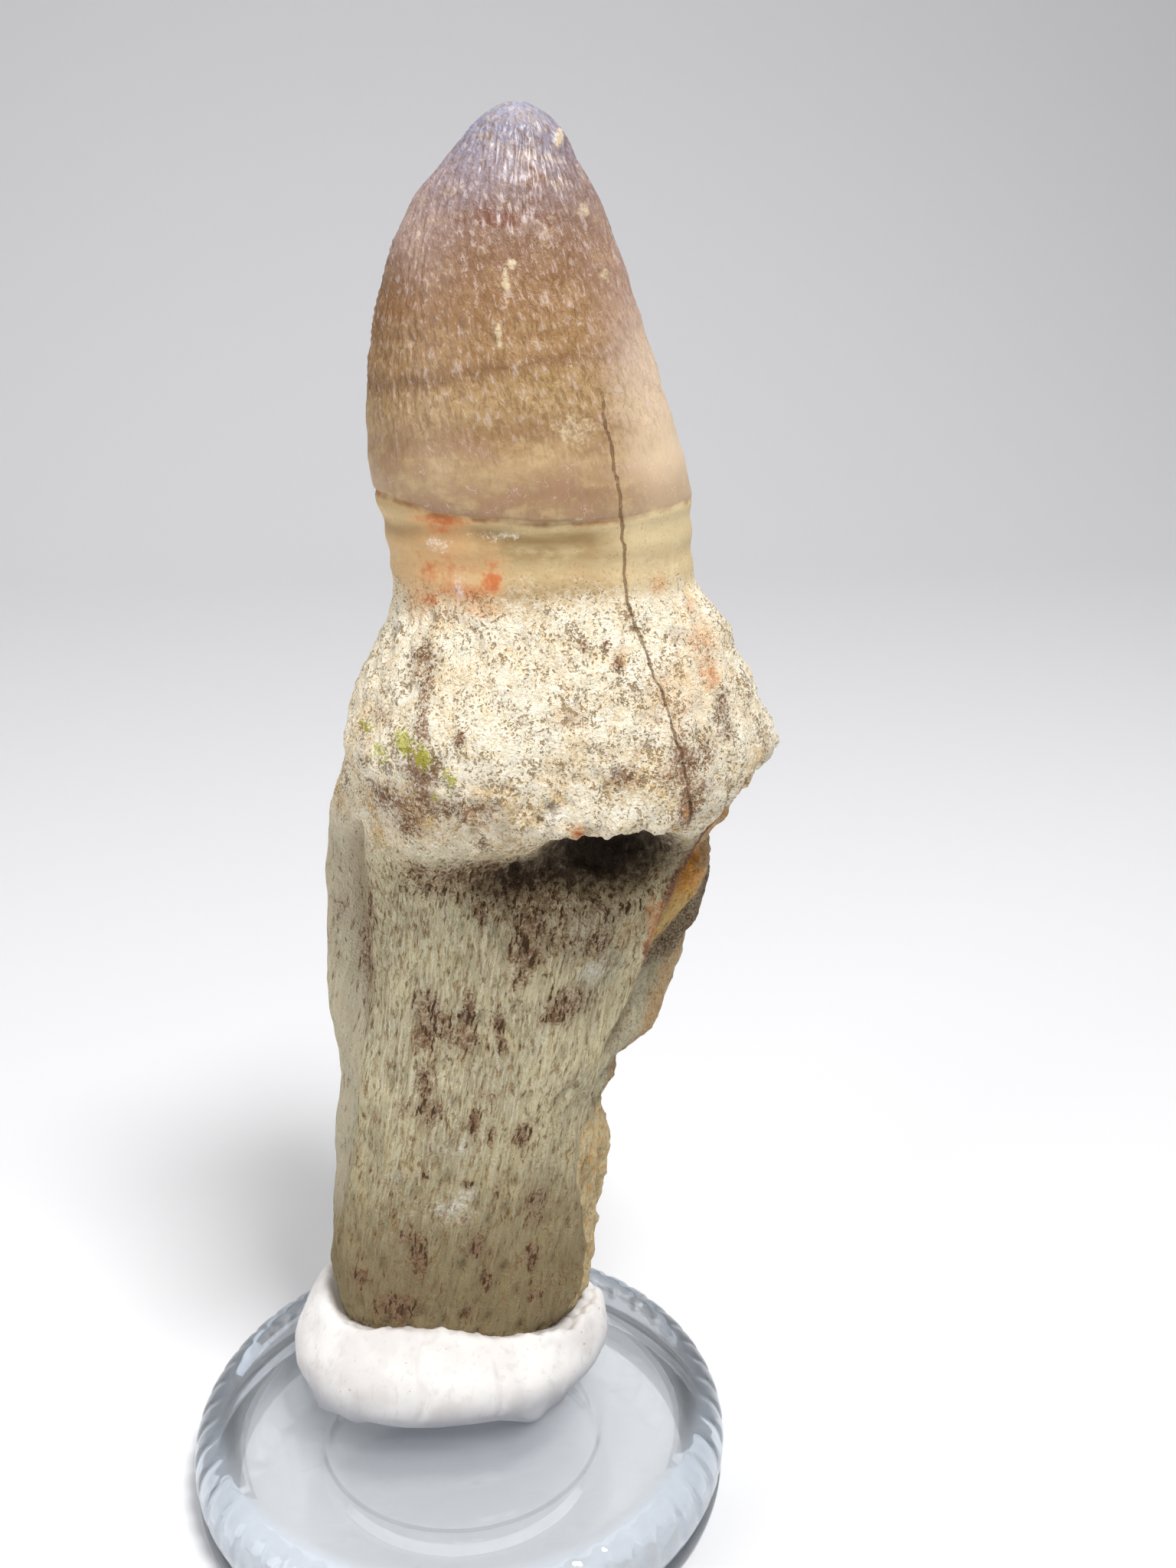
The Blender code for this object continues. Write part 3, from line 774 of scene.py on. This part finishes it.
# %% Patterns of the enamel
def enamel_colour(made, brown_mark, fine):
    """Banded enamel: colour by height, mauve flanks, a painted light on its right side, and fine streaks with
    painted shade between them and painted glints on them.
    """
    x, y, z = made.axes()
    slow = made.place.grain(0.16, 2.0)
    sag = (8.0 - x).larger(0.0) * 0.16
    height = (z + sag + 1.8 * (slow - 0.5) - 82.0) / 30.0
    bands = made.start.node("ShaderNodeValToRGB", {"stops": CROWN_BANDS}, {0: height})
    flank = abs(x - 6.4 + 3.0 * (slow - 0.5)).rise(3.0, 8.5) * (z + 0.6 * (x - 8.0)).rise(91.0, 98.0)
    below = z.fall(86.0, 92.0)
    clouds = made.place.stretch(0.45, 0.45, 0.8).grain(1.0, 5.0, 0.65)
    blotch = clouds.rise(0.44, 0.64) * below
    # Painted light: the lower crown's right side is painted lighter.
    lit_side = (x + 5.0 * (slow - 0.5)).rise(11.0, 16.5) * z.fall(92.0, 100.0)
    scratches = abs(made.place.grain(0.5, 2.0, 0.6, 1.5) - 0.5).fall(0.001, 0.010)
    streaks = made.slanted(x + 0.22 * z, y, z).stretch(2.7, 2.7, 1.25).grain(1.0, 3.0, 0.66, 0.4)
    upper = (z + 3.0 * (slow - 0.5)).rise(85.5, 91.5)
    # Painted shade over the enamel's own brown: the gaps between the streaks are darkened.
    streak_gap_shade = streaks.fall(0.38, 0.50) * (0.12 + 0.44 * upper)
    chips = (brown_mark + 1.3 * (0.5 - streaks) + 0.8 * (fine - 0.5)).rise(0.30, 0.80)
    colour = layered(
        bands,
        (flank * 0.75, MAUVE),
        (blotch * 0.6, tone(168, 128, 104)),
        (clouds.fall(0.34, 0.50) * (0.25 + 0.2 * below), tone(206, 176, 132)),
        (lit_side * (0.35 + 0.35 * z.rise(84.0, 87.5)), tone(238, 213, 180)),
        (scratches * blotch * 0.4, CREAM),
        (streak_gap_shade * (1.0 - 0.6 * lit_side) * (1.0 - 0.5 * flank), STREAK_SHADE_BROWN),
        # Painted glints: pale lilac on the raised streaks.
        (streaks.rise(0.54, 0.66) * (0.08 + 0.40 * upper), LILAC_GLINT),
        (chips * brown_mark.rise(0.0, 0.2) * 0.85, tone(112, 60, 34)),
    )
    return colour, streaks, upper


print("enamel pattern ready")

# %% Patterns of the neck and the bone
def neck_colour(made, fine, grit):
    """Pale dentine of the neck: cream, faintly ringed, lighter on its right side as painted light, and
    dustier and tan toward the bone.
    """
    x, y, z = made.axes()
    slow = made.place.stretch(0.12, 0.12, 0.9).grain(1.0, 2.0)
    rings = (z * 1.9 + 3.0 * slow).sine().rise(-1.4, 1.4)
    dark_ring = abs(z - 81.9 + 1.4 * (slow - 0.5)).fall(0.1, 1.1) * x.fall(10.0, 15.0)
    clouds = made.place.stretch(0.5, 0.5, 0.9).grain(1.0, 5.0, 0.65)
    sideways = x + 3.0 * (slow - 0.5)
    specks = (grit + 0.06 * z.fall(76.0, 81.0)).rise(0.58, 0.68)
    return layered(
        rings.tint(tone(176, 148, 102), tone(198, 174, 130)),
        (clouds.rise(0.46, 0.66) * 0.45, tone(218, 200, 156)),
        (dark_ring * 0.8, tone(122, 96, 52)),
        (sideways.fall(0.5, 4.5) * (0.6 - 0.35 * z.rise(80.5, 82.5)), tone(220, 184, 136)),
        # Painted light: the neck's right side is painted lighter.
        (sideways.rise(10.5, 14.5) * 0.6, tone(228, 210, 168)),
        (z.fall(76.5, 82.0) * fine.rise(0.40, 0.58) * 0.6, tone(184, 148, 98)),
        (specks * 0.55, tone(164, 118, 64)),
    )


def swelling_colour(made, spots, grit):
    """Chalky spongy bone: white grains on cream, their white partly a painted highlight, with tan pits
    between them, partly painted shade.
    """
    mottle = made.place.grain(0.5, 3.0, 0.6)
    golden = made.place.grain(0.28, 4.0, 0.65).rise(0.46, 0.62)
    low = made.place.part(2).fall(61.0, 70.0)
    return layered(
        mottle.rise(0.44, 0.68).tint(CREAM, tone(242, 225, 190)),
        (golden * (0.30 + 0.5 * low) + 0.2 * low, tone(222, 188, 130)),
        (spots.rise(0.46, 0.66) * 0.5, tone(208, 176, 124)),
        # Tan between the grains: the pits' own tan, deepened as painted shade.
        (grit.rise(0.55, 0.66) * 0.65, tone(194, 150, 88)),
        # White on the grains: chalk, and partly a painted highlight.
        (grit.fall(0.38, 0.48) * 0.85, CHALK_AND_HIGHLIGHT_WHITE),
    )


def shaft_colour(made, fibres, grit):
    """Fibrous bone: cream and grey, with fine pale threads and olive gaps between them."""
    mottle = made.place.stretch(1.0, 1.0, 0.5).grain(0.3, 3.0, 0.6)
    return layered(
        mottle.rise(0.42, 0.60).tint(SHAFT_CREAM, SHAFT_GREY),
        (fibres.rise(0.50, 0.62) * 0.7, SHAFT_PALE),
        (fibres.fall(0.38, 0.47) * 0.5, tone(156, 134, 90)),
        (grit.rise(0.56, 0.70) * 0.4, tone(172, 148, 100)),
    )


def clay_stains(colour, brown_mark, fine, grit, holes, on_shaft):
    """Clay caught in the grain: mauve and brown crumbs in granular patches, darkest in the pores."""
    soaked = (0.75 * brown_mark + 2.0 * (grit - 0.5) + 1.2 * (fine - 0.5)).rise(0.30, 0.75)
    crumbs = fine.rise(0.42, 0.58).tint(CLAY_MAUVE, on_shaft.tint(tone(148, 102, 66), CLAY_BROWN))
    halo = (holes + 0.08 * brown_mark).rise(0.58, 0.72) * (0.5 + 0.25 * on_shaft)
    deep = (holes + 0.16 * brown_mark).rise(0.71, 0.80) * (0.24 + 0.60 * on_shaft + 0.5 * brown_mark)
    return layered(
        colour,
        (halo, tone(172, 136, 88)),
        (brown_mark * 0.25, CLAY_MAUVE),
        (soaked * brown_mark.rise(0.0, 0.35) * 0.85, crumbs),
        (deep, on_shaft.larger(0.7 * brown_mark).tint(tone(150, 104, 58), PORE_BROWN)),
    )


def flap_colour(x, z, fine, grit):
    """The flap beside the pit, from its foot up: pale, then a lens of painted shade, then yellow and orange.
    """
    wave = z - 1.3 * (x - 18.6) + 4.0 * (fine - 0.5) + 1.5 * (grit - 0.5)
    top = (z + 4.0 * (grit - 0.5)).rise(50.5, 54.0).tint(tone(224, 184, 102), ORANGE)
    faded = (x + 4.0 * (fine - 0.5)).rise(19.4, 21.4) * fine.rise(0.36, 0.52)
    return layered(
        (grit.rise(0.52, 0.62) * 0.5).tint(tone(204, 196, 166), tone(178, 150, 100)),
        ((x * 0.5 - z * 0.25 + 2.0 * fine).rise(-1.5, -0.8) * 0.6, tone(200, 142, 66)),
        # Painted shade: a grey-brown lens across the flap.
        (wave.rise(44.4, 46.0) * z.rise(44.0, 45.8), grit.rise(0.44, 0.56).tint(LENS_SHADE_PALE, LENS_SHADE_DARK)),
        (wave.rise(49.2, 50.2), faded.tint(top, tone(222, 184, 138))),
        (grit.fall(0.40, 0.52) * 0.3, tone(232, 220, 188)),
        (grit.rise(0.54, 0.66) * 0.35, tone(140, 104, 62)),
    )


def broken_colours(made, colour, fine, grit):
    """Fresh bone inside the hollow, the flap, and the rusty crevice along its edge."""
    x, y, z = made.axes()
    inside = fine.rise(0.44, 0.66).tint(tone(228, 208, 162), tone(216, 170, 108))
    crevice = (made.mark("crevice") + 0.9 * (fine - 0.5) + 0.5 * (grit - 0.5)).rise(0.35, 0.8)
    rusty = z.rise(50.0, 56.0).tint(tone(164, 84, 36), tone(118, 54, 10))
    return layered(
        colour,
        (made.mark("hollow").rise(0.3, 0.8) * 0.85, inside),
        (made.mark("flap").rise(0.15, 0.6) * 0.95, flap_colour(x, z, fine, grit)),
        (crevice * (0.6 + 0.35 * grit.rise(0.42, 0.56)), rusty),
    )


print("bone patterns ready")

# %% Put the fossil's finish together
def bone_patterns(made, fine, grit):
    """Noise that the whole bone shares: pores of the swelling, and the shaft's fibres and dashes."""
    x, y, z = made.axes()
    cluster = made.place.grain(0.45, 3.0, 0.6)
    wander = made.place.node("ShaderNodeTexNoise", {}, {"Vector": made.place, "Scale": 1.5, "Detail": 3.0}, 1)
    pores = made.place.shift(wander.stretch(3.5, 3.5, 3.5)).stretch(1.0, 1.0, 0.75).cells(1.8)
    spots = 0.82 - 0.7 * pores + 0.9 * (cluster - 0.5) + 0.5 * (grit - 0.5)
    along_grain = made.slanted(x - 0.17 * z + 0.5 * fine, y, z)
    fibres = along_grain.stretch(5.5, 5.5, 0.11).grain(1.0, 3.0, 0.65)
    dashes = along_grain.stretch(3.3, 3.3, 0.80).grain(1.0, 2.0, 0.6)
    return spots, fibres, dashes


def crack_line(made, over_edge, fine, grit):
    """The crack down the front: broken on the enamel, whole below it, and gone past its ends."""
    x, y, z = made.axes()
    seam = abs(made.mark("crack") + 0.20 * (grit - 0.5)) - 0.08 * fine
    line = seam.fall(0.0, 0.08) * y.fall(1.5, 3.5) * z.rise(60.2, 61.4) * z.fall(90.0, 93.0)
    return line * (0.35 + 0.65 * over_edge.rise(-7.0, -4.0)) * fine.rise(0.25, 0.50)


def fossil_finish():
    """The bone and its stains, then the neck and enamel over it, then rim, painted shade in the hollows,
    crack, and painted shade in the pit.
    """
    made = Finish("fossil_enamel_and_bone")
    x, y, z = made.axes()
    fine = made.place.grain(1.6, 4.0, 0.65)
    grit = made.place.grain(4.4, 3.0, 0.75)
    slow = made.place.grain(0.6, 2.0)
    over_edge, pit, brown_mark, rust_mark, left_face = [
        made.mark(name) for name in ("over_edge", "pit", "brown", "rust", "left_face")
    ]
    on_enamel = over_edge.rise(-0.12, 0.12)
    on_shaft = (made.mark("shaft") + 1.3 * (fine - 0.5)).rise(0.15, 0.85)
    on_bone = (made.mark("bone") + 1.1 * (fine - 0.5)).rise(0.2, 0.8)
    spots, fibres, dashes = bone_patterns(made, fine, grit)
    holes = spots + on_shaft * (dashes + 0.055 - spots) - 0.06 * left_face

    bone = layered(
        on_shaft.tint(swelling_colour(made, spots, grit), shaft_colour(made, fibres, grit)),
        # Painted shade: the lower shaft darkens towards the foot.
        (z.fall(17.0, 40.0) * 0.85, tone(138, 119, 79)),
        (left_face * 0.6, tone(218, 207, 182)),
    )
    bone = clay_stains(bone, brown_mark, fine, grit, holes, on_shaft)
    bone = broken_colours(made, bone, fine, grit)

    enamel, streaks, upper = enamel_colour(made, brown_mark, fine)
    line = crack_line(made, over_edge, fine, grit)
    ruddy = (rust_mark + 1.0 * (fine - 0.5) + (0.3 + 0.9 * on_bone) * (grit - 0.5)).rise(0.42, 1.0)
    # Chalk, and a few painted glints on the crown's right flank.
    chalk_and_glint = (made.mark("chalk_and_glints") + 1.2 * (fine - 0.5) + 0.9 * (grit - 0.5)).rise(0.30, 0.85)
    lime = (made.mark("lime") + 1.8 * (grit - 0.5) + 1.4 * (fine - 0.5)).rise(0.40, 0.62)
    rim = abs(over_edge + 0.14 + 0.3 * (slow - 0.5)).fall(0.0, 0.42) * (slow.rise(0.38, 0.60) * 0.65 + 0.10)
    # Painted shade in the hollows: darker where the carved relief sinks.
    hollow_shade = (0.25 * (grit - 0.5) - made.mark("relief")).rise(0.12, 0.60) * (1.0 - on_enamel)
    # Painted shade in the pit under the ledge, with darker crumbs that are partly real crust.
    pit_shade = (pit + 0.6 * (fibres - 0.5)).rise(0.05, 0.7)
    crust_and_shade = (pit + 1.5 * (fine - 0.5) + 0.9 * (grit - 0.5)).rise(0.40, 0.90) * pit.rise(0.0, 0.3)
    colour = layered(
        on_bone.tint(neck_colour(made, fine, grit), bone),
        ((rust_mark + 0.8 * (fine - 0.5)).rise(0.0, 0.7) * 0.65, RUST_PALE),
        (ruddy * rust_mark.rise(0.0, 0.2) * 0.8, RUST_RED),
        (on_enamel, enamel),
        (chalk_and_glint * 0.75, on_enamel.tint(CHALK_AND_HIGHLIGHT_WHITE, tone(228, 208, 172))),
        (lime * 0.8, LIME),
        (rim * (1.0 - 0.4 * x.rise(9.0, 15.0)), tone(142, 84, 32)),
        (hollow_shade * 0.4, tone(134, 106, 70)),
        (line * 0.75, tone(116, 76, 38)),
        (pit_shade * 0.6, tone(96, 70, 42)),
        (crust_and_shade * 0.85, grit.rise(0.54, 0.62).tint(SHADE_BROWN, tone(100, 72, 46))),
        # Painted shadow: near black where the pit is deepest.
        (pit.rise(0.55, 0.95) * 0.7, tone(32, 20, 10)),
    )
    made.feed("Base Color", colour)

    gloss = on_enamel * (1.0 - 0.5 * line)
    satin_neck = (1.0 - on_bone) * (1.0 - on_enamel)
    made.feed("Roughness", 0.86 - gloss * (0.48 - 0.24 * streaks) - 0.12 * satin_neck)
    made.feed("Coat Weight", gloss * 0.3)
    made.fixed(Coat_Roughness=0.25, Specular_IOR_Level=0.45)

    rough = 0.22 + 0.08 * on_shaft + 0.2 * brown_mark
    relief = 0.20 * on_shaft * fibres - rough * grit - (0.16 + 0.10 * on_shaft) * holes.rise(0.56, 0.80)
    relief = on_bone * (relief + (0.26 + 0.3 * brown_mark) * fine) + (1.0 - on_bone) * 0.06 * fine
    relief = on_enamel * (0.03 + 0.13 * upper) * streaks + (1.0 - on_enamel) * relief - 0.10 * line
    made.bump(relief)
    print(made.material.name, "has", len(made.tree.nodes), "nodes")
    return made.material


fossil_tooth.data.materials.append(fossil_finish())

# %% [markdown]
# ## Putty
#
# The putty is a soft white lump, pressed around the bone's foot with a thumb: nearly flat where
# it meets the bone in front, rolled up into a rim at the sides and back, bulging below, and
# drawn in where it touches the disc. A Boolean socket would leave long thin faces, so it is
# rolled from one flat grid instead: one way runs around the lump, the other from under its
# belly, up over the rim, and down inside against the bone, whose skin a ray finds.

# %% Roll the putty from a grid
PUTTY_MIDDLE = (-0.6, 3.9)
PUTTY_HALF = (13.7, 10.4)
WAIST, FLOOR, FULLNESS, UNDERCUT = 9.6, 6.52, 2.4, 1.2
SOCKET_FLOOR, SOCKET_TOP, RAY_START = 10.8, 15.4, 25.0
# Where, from 0 at the edge underneath to 1 at the socket's floor, the belly and the rim end
BELLY_END, RIM_END = 0.2, 0.65
# Small lips squeezed out at the base: direction in radians, width, and how far out
LIPS = [(-2.70, 0.17, 1.7), (-2.44, 0.10, 0.8), (-0.90, 0.16, 1.6), (-0.66, 0.09, 0.9)]

bone_skin = BVHTree.FromObject(fossil_tooth, bpy.context.evaluated_depsgraph_get())


def bone_radius(turn, z):
    """Distance from the putty's middle to the bone's skin, at a height and in a direction."""
    heading = Vector((cos(turn), sin(turn), 0.0))
    outside = Vector((*PUTTY_MIDDLE, z)) + heading * RAY_START
    hit = bone_skin.ray_cast(outside * MM, -heading, 0.03)[0]
    return RAY_START - (hit / MM - outside).length


def rim_height(turn):
    return 16.0 - 1.0 * cos(turn) + 1.6 * sin(turn) + 0.3 * sin(3.0 * turn + 1.0)


def putty_point(turn, level):
    """Distance from the middle and height of a point of the lump, in a direction and at a level."""
    across_part = cos(turn) / PUTTY_HALF[0]
    deep_part = sin(turn) / PUTTY_HALF[1]
    wobble = 1.0 + 0.018 * sin(2.0 * turn + 0.6) + 0.012 * sin(5.0 * turn)
    outer = wobble / hypot(across_part, deep_part)
    top = rim_height(turn)
    if level <= BELLY_END:
        lift = (level / BELLY_END - 1.0) * 1.25
        low = max(FLOOR, WAIST + (WAIST - FLOOR + UNDERCUT) * sin(lift))
        lip = sum(out * np.exp(-((turn - at) / wide) ** 2) for at, wide, out in LIPS)
        radius = outer * abs(cos(lift)) ** (2.0 / FULLNESS) + lip * np.exp(-((level - 0.09) / 0.05) ** 2)
        return radius, low
    inner = bone_radius(turn, min(top, SOCKET_TOP))
    if level <= RIM_END:
        t = (level - BELLY_END) / (RIM_END - BELLY_END)
        radius = outer + (inner - outer) * t ** 1.6
        share = min(1.0, radius / outer)
        rise = (1.0 - share ** FULLNESS) ** (1.0 / FULLNESS)
        side = abs(cos(turn)) ** 2
        from_bone = (radius - inner - 0.5 - 1.0 * side) / (0.5 + 0.6 * side)
        crest = (0.15 + 0.65 * side) * np.exp(-from_bone ** 2)
        crest -= 0.6 * side * np.exp(-((radius - inner) / 0.6) ** 2)
        return radius, WAIST + (top - WAIST) * rise + crest
    t = (level - RIM_END) / (1.0 - RIM_END)
    edge_height = putty_point(turn, RIM_END)[1]
    low = edge_height + (10.2 - edge_height) * t
    return bone_radius(turn, max(low, SOCKET_FLOOR)) - 0.06, low


def putty_mesh(around=240, up=72):
    work = bmesh.new()
    bmesh.ops.create_grid(work, x_segments=around, y_segments=up, size=1.0)
    for vertex in work.verts:
        turn = pi * vertex.co.x
        radius, low = putty_point(turn, 0.5 * (vertex.co.y + 1.0))
        spot = Vector((PUTTY_MIDDLE[0] + radius * cos(turn), PUTTY_MIDDLE[1] + radius * sin(turn), low))
        vertex.co = spot * MM
    bmesh.ops.remove_doubles(work, verts=work.verts, dist=0.001 * MM)
    bmesh.ops.holes_fill(work, edges=work.edges, sides=0)
    bmesh.ops.recalc_face_normals(work, faces=work.faces)
    return work


lump = putty_mesh()
print("putty", len(lump.verts), "points, open edges:", sum(edge.is_boundary for edge in lump.edges))

# %% Press creases into the putty
points = places(lump)
normals = headings(lump)
x, y, z = points.T
turns = np.arctan2(y - PUTTY_MIDDLE[1], x - PUTTY_MIDDLE[0])
free = ramp(z, FLOOR, FLOOR + 1.5) * ramp(normals[:, 2], -0.6, -0.1)
folds = 0.16 * field(points, 0.45, 0.22, 3.0, 0.2) + 0.07 * field(points, 1.3, 0.5, 5.0, 0.25)
creases = -0.34 * np.exp(-((turns + 1.86 + 0.05 * np.sin(z)) / 0.025) ** 2) * ramp(z, 15.0, 13.0)
creases += -0.26 * np.exp(-((turns + 1.40 - 0.02 * z) / 0.02) ** 2) * ramp(z, 13.5, 11.5)
levels = np.clip(z, SOCKET_FLOOR, SOCKET_TOP)
bone_line = np.array([bone_radius(turn, level) for turn, level in zip(turns, levels)])
against_bone = np.hypot(x - PUTTY_MIDDLE[0], y - PUTTY_MIDDLE[1]) < bone_line + 0.15
points += normals * ((folds + creases) * free * ~against_bone)[:, None]
ragged_base = 0.25 * field(points, 1.1, 1.1, 9.0) * ramp(z, FLOOR + 1.2, FLOOR + 0.1) * (normals[:, 2] < 0.2)
points[:, 0] += np.cos(turns) * ragged_base
points[:, 1] += np.sin(turns) * ragged_base
points[:, 2] = np.maximum(points[:, 2], FLOOR)
move_to(lump, points)
putty_lump = finished(lump, "putty_lump")
print("putty_lump", len(putty_lump.data.polygons), "faces")

# %% Finish the putty
def putty_finish():
    """Dull warm white, a little grey in its folds as painted shade, bluish lower down as painted shade, with
    faint finger marks and crumbs of bone.
    """
    made = Finish("white_putty")
    slow = made.place.grain(0.22, 3.0, 0.55)
    fine = made.place.stretch(1.0, 1.0, 0.45).grain(1.6, 4.0, 0.6)
    grit = made.place.grain(6.0, 2.0, 0.6)
    made.feed("Base Color", layered(
        slow.rise(0.40, 0.66).tint(tone(238, 235, 232), tone(224, 219, 216)),
        # Painted shade: grey in the low places of the fine folds.
        (fine.fall(0.34, 0.46) * 0.3, tone(206, 196, 190)),
        # Painted shade: bluish grey toward the putty's foot.
        (made.place.part(2).fall(6.8, 11.0) * 0.7, tone(158, 160, 174)),
        (made.place.grain(2.2, 2.0).rise(0.73, 0.76) * 0.7, tone(176, 160, 136)),
    ))
    made.feed("Roughness", 0.52 + 0.22 * fine)
    made.fixed(Specular_IOR_Level=0.4)
    made.bump(0.04 * fine + 0.02 * grit + 0.04 * slow)
    return made.material


putty_lump.data.materials.append(putty_finish())

# %% [markdown]
# ## Clear stand
#
# The stand is a thick moulded disc of clear plastic: flat on top, with a rounded raised rim,
# shallow flutes pressed into the rim about every two and a half millimetres, a groove low on the
# side, and two fine steps underneath that show through as faint rings. All of that is turned, so
# one half profile is spun around the middle, and the flutes are pressed in afterwards.

# %% Spin the stand
FLUTES, FLUTE_DEPTH = 53, 0.30


def stand_profile():
    """Half of the disc's section, from the middle of its top round to the middle of its base."""
    profile = [(0.0, 6.5), (6.0, 6.5), (12.0, 6.5), (16.0, 6.5), (18.6, 6.5), (19.3, 6.52), (19.7, 6.62)]
    for step in range(1, 15):
        turn = 0.5 * pi * step / 14.0
        profile.append((20.1 + 2.8 * sin(turn), 3.5 + 3.2 * cos(turn)))
    profile += [(22.85, 2.8), (22.7, 2.3), (22.45, 2.05), (22.3, 1.8), (22.45, 1.55), (22.7, 1.3)]
    profile += [(22.75, 0.9), (22.7, 0.45), (22.45, 0.12), (22.1, 0.0), (19.4, 0.0), (19.2, 0.12)]
    profile += [(18.9, 0.45), (18.5, 0.55), (12.6, 0.55), (12.3, 0.5), (12.0, 0.25), (11.8, 0.2)]
    profile += [(11.5, 0.25), (11.2, 0.5), (10.8, 0.55), (5.0, 0.55), (0.0, 0.55)]
    return profile


def spun_disc(steps=424):
    work = bmesh.new()
    line = [work.verts.new((radius * MM, 0.0, z * MM)) for radius, z in stand_profile()]
    edges = [work.edges.new(pair) for pair in zip(line, line[1:])]
    bmesh.ops.spin(
        work, geom=line + edges, cent=(0.0, 0.0, 0.0), axis=(0.0, 0.0, 1.0),
        angle=2.0 * pi, steps=steps, use_merge=True,
    )
    bmesh.ops.remove_doubles(work, verts=work.verts, dist=0.001 * MM)
    bmesh.ops.recalc_face_normals(work, faces=work.faces)
    return work


disc = spun_disc()
for vertex in disc.verts:
    radius = hypot(vertex.co.x, vertex.co.y) / MM
    on_rim = float(ramp(radius, 20.2, 21.6)) * float(ramp(vertex.co.z / MM, 2.2, 3.4))
    turn = atan2(vertex.co.y, vertex.co.x)
    dent = on_rim * FLUTE_DEPTH * max(0.0, cos(FLUTES * turn)) ** 2
    drawn_in = 1.0 - dent / max(radius, 1.0)
    vertex.co.x *= drawn_in
    vertex.co.y *= drawn_in
clear_disc = finished(disc, "clear_disc")
print("clear_disc", len(clear_disc.data.polygons), "faces,", FLUTES, "flutes")

# %% Finish the stand
def clear_finish():
    """Clear moulded plastic with a painted bluish-white glow, strongest where it is thick, and a haze of
    handling marks.
    """
    made = Finish("clear_plastic")
    x, y = made.place.part(0), made.place.part(1)
    out = (x * x + y * y) ** 0.5
    thick = out.rise(19.2, 21.0)
    rubbed = made.place.stretch(0.35, 0.9, 0.35).grain(1.0, 4.0, 0.7).rise(0.54, 0.74)
    scuffs = made.place.grain(2.4, 3.0, 0.7).rise(0.62, 0.74)
    made.feed("Roughness", 0.03 + 0.03 * thick + 0.08 * rubbed + 0.12 * scuffs)
    made.feed("Alpha", 0.50 + 0.40 * thick + 0.10 * rubbed)
    # Painted glow: a bluish-white diffuse colour, strongest on the thick rim, stands in for the rim's
    # reflections.
    made.feed("Base Color", thick.tint((0.90, 0.94, 0.97, 1.0), (0.78, 0.86, 0.96, 1.0)))
    made.fixed(Transmission_Weight=0.86, IOR=1.49)
    made.bump(0.012 * made.place.grain(0.5, 2.0))
    return made.material


clear_disc.data.materials.append(clear_finish())

# %% [markdown]
# ## Hand the pieces to the frame
#
# Each finished piece rides on the object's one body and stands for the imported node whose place
# it fills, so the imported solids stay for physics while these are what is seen.

# %% Ride, replace and measure
for piece, node, slot in (
    (fossil_tooth, "tooth", "fossil"), (putty_lump, "putty", "putty"), (clear_disc, "stand", "clear_stand"),
):
    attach(piece, "root")
    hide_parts(node)
bpy.context.view_layer.update()
print("packed box", [[round(v / MM, 1) for v in corner] for corner in cad_box])
